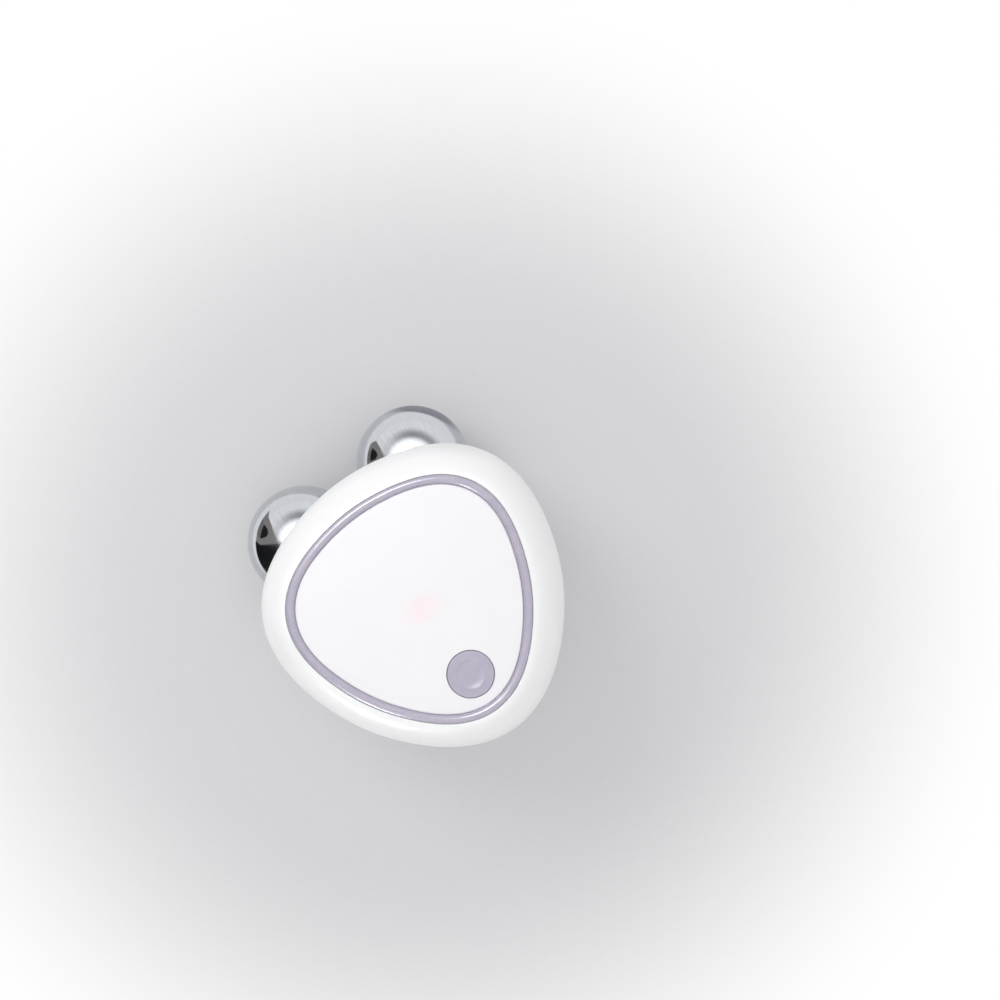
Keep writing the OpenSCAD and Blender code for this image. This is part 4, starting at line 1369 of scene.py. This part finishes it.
class TONER_OT_fasteners(ToneOperator, bpy.types.Operator):
    """Make the screws, and the caps over the case screws"""
    bl_idname = "toner.fasteners"
    bl_label = "Screws and caps"

    def execute(self, context):
        scene = context.scene
        h, b, inside = scene.toner_housing, scene.toner_balls, scene.toner_inside
        steel = finish("steel")
        for node, spots in (("case_screws", CASE_SPOTS), ("board_screws", BOARD_SPOTS)):
            facts = screw_facts(one_screw(node, spots[0]))
            heads = [(x, y, facts.under) for x, y in spots]
            piece = repeated(node + "_steel", screw(facts, inside.pitch), heads, steel,
                             [(math.pi, 0, 0)] * len(heads))
            settle(piece, "housing", "steel", node)
        facts = ball_screw(b.tilt)
        heads = [ball_frame(side, b.tilt) @ Vector((0, 0, facts.under)) for side in (-1, 1)]
        piece = repeated("ball_screws_steel", screw(facts, inside.pitch), heads, steel,
                         [(b.tilt, 0, 0)] * len(heads))
        settle(piece, "housing", "steel", "ball_screws")

        a = round_angles(240)
        rows = np.concatenate([pad_rows(h, a, 0, 12), bowl_rows(h, a, 0, 97)])
        belly = link("belly", grid_mesh("belly", rows))
        cap_r, edge = h.counter_r - h.cap_gap, 0.12 * MM
        section = np.concatenate([[(cap_r * k, 0) for k in (0.2, 0.4, 0.6, 0.8)],
                                  arc((cap_r - edge, edge), (edge, edge), -90, 0, 6), [(cap_r, MM)]])
        plug = turned("plug", section)
        guide = spots_at([(x, y, 0) for x, y in CASE_SPOTS], [(0, 0, 0)] * len(CASE_SPOTS))
        caps = grown("screw_caps_flush", "Plugs", finish("shell_white"), [plug, guide, belly],
                     pattern=plug, spots=guide, surface=belly, inset=h.cap_inset, top=CAPS_HIGH.z)
        settle(caps, "housing", "shell_white", "screw_caps")
        return {"FINISHED"}


class TONER_OT_board(ToneOperator, bpy.types.Operator):
    """Make the circuit board and the parts on it"""
    bl_idname = "toner.board"
    bl_label = "Circuit board"

    def execute(self, context):
        inside = context.scene.toner_inside
        board()
        chip("control_chip", (0, 90, 180, 270), 8, 0.65 * MM, inside.leg_w)
        chip("driver_chip", (90, 270), 4, 1.1 * MM, inside.leg_w)
        chip("charge_chip", (90, 270), 3, 0.9 * MM, inside.leg_w)
        capacitors()
        coil(inside.winding_r)
        indicator()
        softened("light_guide", "guide_clear", 0.2 * MM)
        return {"FINISHED"}


class TONER_OT_power(ToneOperator, bpy.types.Operator):
    """Make the battery, its foam pad, plug and header, the leads and the charge socket"""
    bl_idname = "toner.power"
    bl_label = "Power"

    def execute(self, context):
        wire_r = context.scene.toner_inside.wire_r
        cell = soft_block("battery_cell_pouch", CELL_LOW, CELL_HIGH, 1.5 * MM, 1.1 * MM, 10)
        dress(cell, "battery_foil", "battery_cell")
        pad = soft_block("battery_pad_foam", PAD_LOW, PAD_HIGH, 0.6 * MM, 0.15 * MM)
        dress(pad, "foam", "battery_pad")
        for node in ("battery_plug", "battery_header"):
            softened(node, "connector_ivory", 0.12 * MM)
        for node, side, look in (("lead_red", 1, "wire_red"), ("lead_black", -1, "wire_black")):
            route = bezier(in_metres(BATTERY_ROUTE, side))
            settle(wire(node + "_wire", route, wire_r, finish(look)), "housing", look, node)
        pair = [wire("lead", bezier(in_metres(ELECTRODE_ROUTE, side)), wire_r, finish("wire_white"))
                for side in (-1, 1)]
        settle(joined("electrode_leads_wires", pair), "housing", "wire_white", "electrode_leads")
        socket()
        return {"FINISHED"}


# ---- Stage ----

EYE_X, EYE_Y = 25.4 * MM, 6.8 * MM
CAMERA_TURN = math.radians(36.3)
SENSOR, CLIP_START = 36, 0.01


def stage_axes():
    """The camera's right and up directions on the floor."""
    sine, cosine = math.sin(CAMERA_TURN), math.cos(CAMERA_TURN)
    return Vector((cosine, -sine, 0)), Vector((sine, cosine, 0))


FLOOR_R, CARD_R = 4, 0.4
LAMP_SIZE, LAMP_PLACE = 0.22, (-0.22, 0.2, 0.36)
# Soft windows that gloss sees: (camera's right, camera's up, height), half width in degrees, brightness
WINDOWS = (((-0.3, 0.34, 0.89), 13, 15.0), ((-0.41, -0.88, 0.25), 9, 28.0),
           ((-0.73, -0.27, 0.62), 9, 14.0))
# The sky that gloss sees overhead: the heights (as sines) where a level begins and is full, the level
OVERHEAD = ((0.58, 0.76, 1.7), (0.94, 0.99, 0.7))
# Cards: name, colour, radii where the card begins and rises, its top as (angle about the balls, height)
CARDS = (
    ("dark_low", (0.012, 0.012, 0.014, 1), 0.085, CARD_R, ((5, 0.5), (14, 0.62), (50, 0.62))),
    ("dark_high", (0.02, 0.02, 0.02, 1), 0.088, 0.9 * CARD_R,
     ((-21, 0.02), (-18, 0.09), (-12, 0.13), (-6, 0.1), (-3, 0.03))),
    ("grey_side", (0.3, 0.28, 0.27, 1), 0.09, CARD_R,
     ((-32, 0.02), (-26, 0.14), (-16, 0.26), (-3, 0.4), (5, 0.5))),
)


def on_set(across, along, height=0):
    """A place or a direction, given by the camera's right, the camera's up and height."""
    right, up = stage_axes()
    return across * right + along * up + Vector((0, 0, height))


def shown_behind(w):
    """1 for rays that show the background: from the camera, and through gloss and glass."""
    path = w.node("ShaderNodeLightPath").outputs
    return w.math("MAXIMUM", w.math("MAXIMUM", path["Is Camera Ray"], path["Is Glossy Ray"]),
                  path["Is Transmission Ray"])


def floor(s):
    """A pale floor: soft grey round the object, white further out, with a shade that only gloss sees."""
    made = bpy.data.materials.new("floor")
    w = emptied(made)
    shader = w.node("ShaderNodeBsdfPrincipled")
    fine = spread(w, noise(w, place_on(w), 1.5 * MM, detail=4), 0, 1)
    feed(w, shader, roughness=0.9, specular_ior_level=0.1,
         base_color=blended(w, fine, tinted(s.floor, 0.985), s.floor))

    def away(x, y):
        flat = place_on(w, move=(-x, -y, 0), scale=(1, 1, 0))
        return w.vector("LENGTH", flat, output="Value")

    def mixed(amount, first, second):
        return w.node("ShaderNodeMixShader", {0: amount, 1: first, 2: second}).outputs[0]

    glossy = w.node("ShaderNodeLightPath").outputs["Is Glossy Ray"]
    seen = ramp(w, away(0, 0), s.grey_r, s.white_r)
    mirrored = ramp(w, away(0, 0), s.grey_r, s.grey_r * 1.2)
    white = w.math("MAXIMUM", seen, w.times(mirrored, glossy))
    plain = mixed(w.times(white, shown_behind(w)), shader.outputs[0], glowing(w, (1, 1, 1, 1)))
    shade = BALL_PLACE + on_set(6 * MM, 26 * MM)
    near = ramp(w, away(shade.x, shade.y), 21 * MM, 11 * MM)
    surface(w, mixed(w.times(near, glossy), plain, glowing(w, (0.36, 0.35, 0.38, 1))))
    ring = [(FLOOR_R * math.cos(t), FLOOR_R * math.sin(t), -NEAR) for t in round_angles(96)]
    finished(link("floor", plain_mesh("floor", ring, [range(96)])), made)


def card(name, shade, low_r, far_r, heights):
    """Something beside the set that only polished surfaces reflect: along the floor from low_r to far_r,
    then up to these heights, given as (angle about the balls, height)."""
    made = bpy.data.materials.new(name)
    w = emptied(made)
    surface(w, glowing(w, shade))
    foot = 0.1 * MM
    points = []
    for angle, height in heights:
        t = math.radians(angle)
        way = on_set(-math.cos(t), -math.sin(t))
        points += [Vector((0, BALL_PLACE.y, z)) + r * way
                   for r, z in ((low_r, foot), (far_r, foot), (far_r, height))]
    faces = [(i + k, i + k + 1, i + k + 4, i + k + 3)
             for i in range(0, len(points) - 3, 3) for k in (0, 1)]
    piece = finished(link(name, plain_mesh(name, points, faces)), made)
    for ray in ("camera", "diffuse", "shadow", "transmission", "volume_scatter"):
        setattr(piece, "visible_" + ray, False)


def key_lamp(s):
    """A soft light at the upper left. Gloss sees the sky's windows in its place."""
    lamp = link("key", bpy.data.lights.new("key", "AREA"))
    lamp.data.shape = "DISK"
    lamp.data.size = LAMP_SIZE
    lamp.data.energy = s.key
    lamp.location = on_set(*LAMP_PLACE)
    lamp.rotation_euler = lamp.location.to_track_quat("Z", "Y").to_euler()
    lamp.visible_glossy = False


def sky(scene):
    """Pale surroundings, brighter towards the upper left. Gloss sees a grey band and windows in them."""
    world = bpy.data.worlds.new("surroundings")
    w = emptied(world)

    def towards(*way):
        seen = w.node("ShaderNodeTexCoord").outputs["Generated"]
        return w.vector("DOT_PRODUCT", seen, tuple(on_set(*way).normalized()), output="Value")

    height = towards(0, 0, 1)
    lit = w.times(ramp(w, height, 0, 0.5, 0.98, 0.85),
                  ramp(w, towards(-1, 1, 0), -1, 1, 0.94, 1.06, soft=False))
    band = ramp(w, towards(1, 1, 0), -0.2, 0.6, 0.88, 0.42)
    mirrored = ramp(w, height, 0.25, 0.55, 1.05, band)
    for low, high, level in OVERHEAD:
        mirrored = ramp(w, height, low, high, mirrored, level)
    for way, half, bright in WINDOWS:
        edges = [math.cos(math.radians(half * k)) for k in (1.2, 0.6)]
        mirrored = w.plus(mirrored, ramp(w, towards(*way), *edges, 0.0, bright))
    glossy = w.node("ShaderNodeLightPath").outputs["Is Glossy Ray"]
    plain = w.math("MAXIMUM", lit, shown_behind(w))
    level = w.plus(plain, w.times(glossy, w.math("SUBTRACT", mirrored, plain)))
    back = w.node("ShaderNodeBackground", {"Color": (1, 1, 1, 1), "Strength": level})
    w.node("ShaderNodeOutputWorld", {"Surface": back.outputs[0]})
    scene.world = world


class TONER_OT_stage(ToneOperator, bpy.types.Operator):
    """Make the camera, the floor and the lights"""
    bl_idname = "toner.stage"
    bl_label = "Stage"

    def execute(self, context):
        s = context.scene.toner_stage
        scene = context.scene
        camera = link("camera", bpy.data.cameras.new("camera"))
        camera.data.lens = s.lens / MM
        camera.data.sensor_width = SENSOR
        camera.data.clip_start = CLIP_START
        right, up = stage_axes()
        camera.matrix_world = Matrix((
            (right.x, up.x, 0, EYE_X), (right.y, up.y, 0, EYE_Y), (0, 0, 1, s.height), (0, 0, 0, 1)))
        scene.camera = camera
        floor(s)
        for facts in CARDS:
            card(*facts)
        key_lamp(s)
        sky(scene)
        scene.view_settings.view_transform = "Standard"
        return {"FINISHED"}


OPERATORS = (TONER_OT_stage, TONER_OT_shells, TONER_OT_face, TONER_OT_button, TONER_OT_balls,
             TONER_OT_fasteners, TONER_OT_board, TONER_OT_power)


class TONER_PT_panel(bpy.types.Panel):
    """The toner's pieces in the order in which they are made"""
    bl_idname = "TONER_PT_panel"
    bl_label = "Facial toner"
    bl_space_type = "VIEW_3D"
    bl_region_type = "UI"
    bl_category = "Toner"

    def draw(self, context):
        for name in GROUPS:
            group = getattr(context.scene, name)
            column = self.layout.column(align=True)
            for key in group.bl_rna.properties.keys():
                if key not in ("rna_type", "name"):
                    column.prop(group, key)
        for maker in OPERATORS:
            self.layout.operator(maker.bl_idname)


def register():
    for made in (*GROUPS.values(), *OPERATORS, TONER_PT_panel):
        bpy.utils.register_class(made)
    for name, group in GROUPS.items():
        setattr(bpy.types.Scene, name, PointerProperty(type=group))


def unregister():
    for name in GROUPS:
        delattr(bpy.types.Scene, name)
    for made in (TONER_PT_panel, *OPERATORS, *GROUPS.values()):
        bpy.utils.unregister_class(made)


def main():
    """Makes every piece."""
    register()
    for maker in OPERATORS:
        group, name = maker.bl_idname.split(".")
        getattr(getattr(bpy.ops, group), name)()


if __name__ == "__main__":
    main()
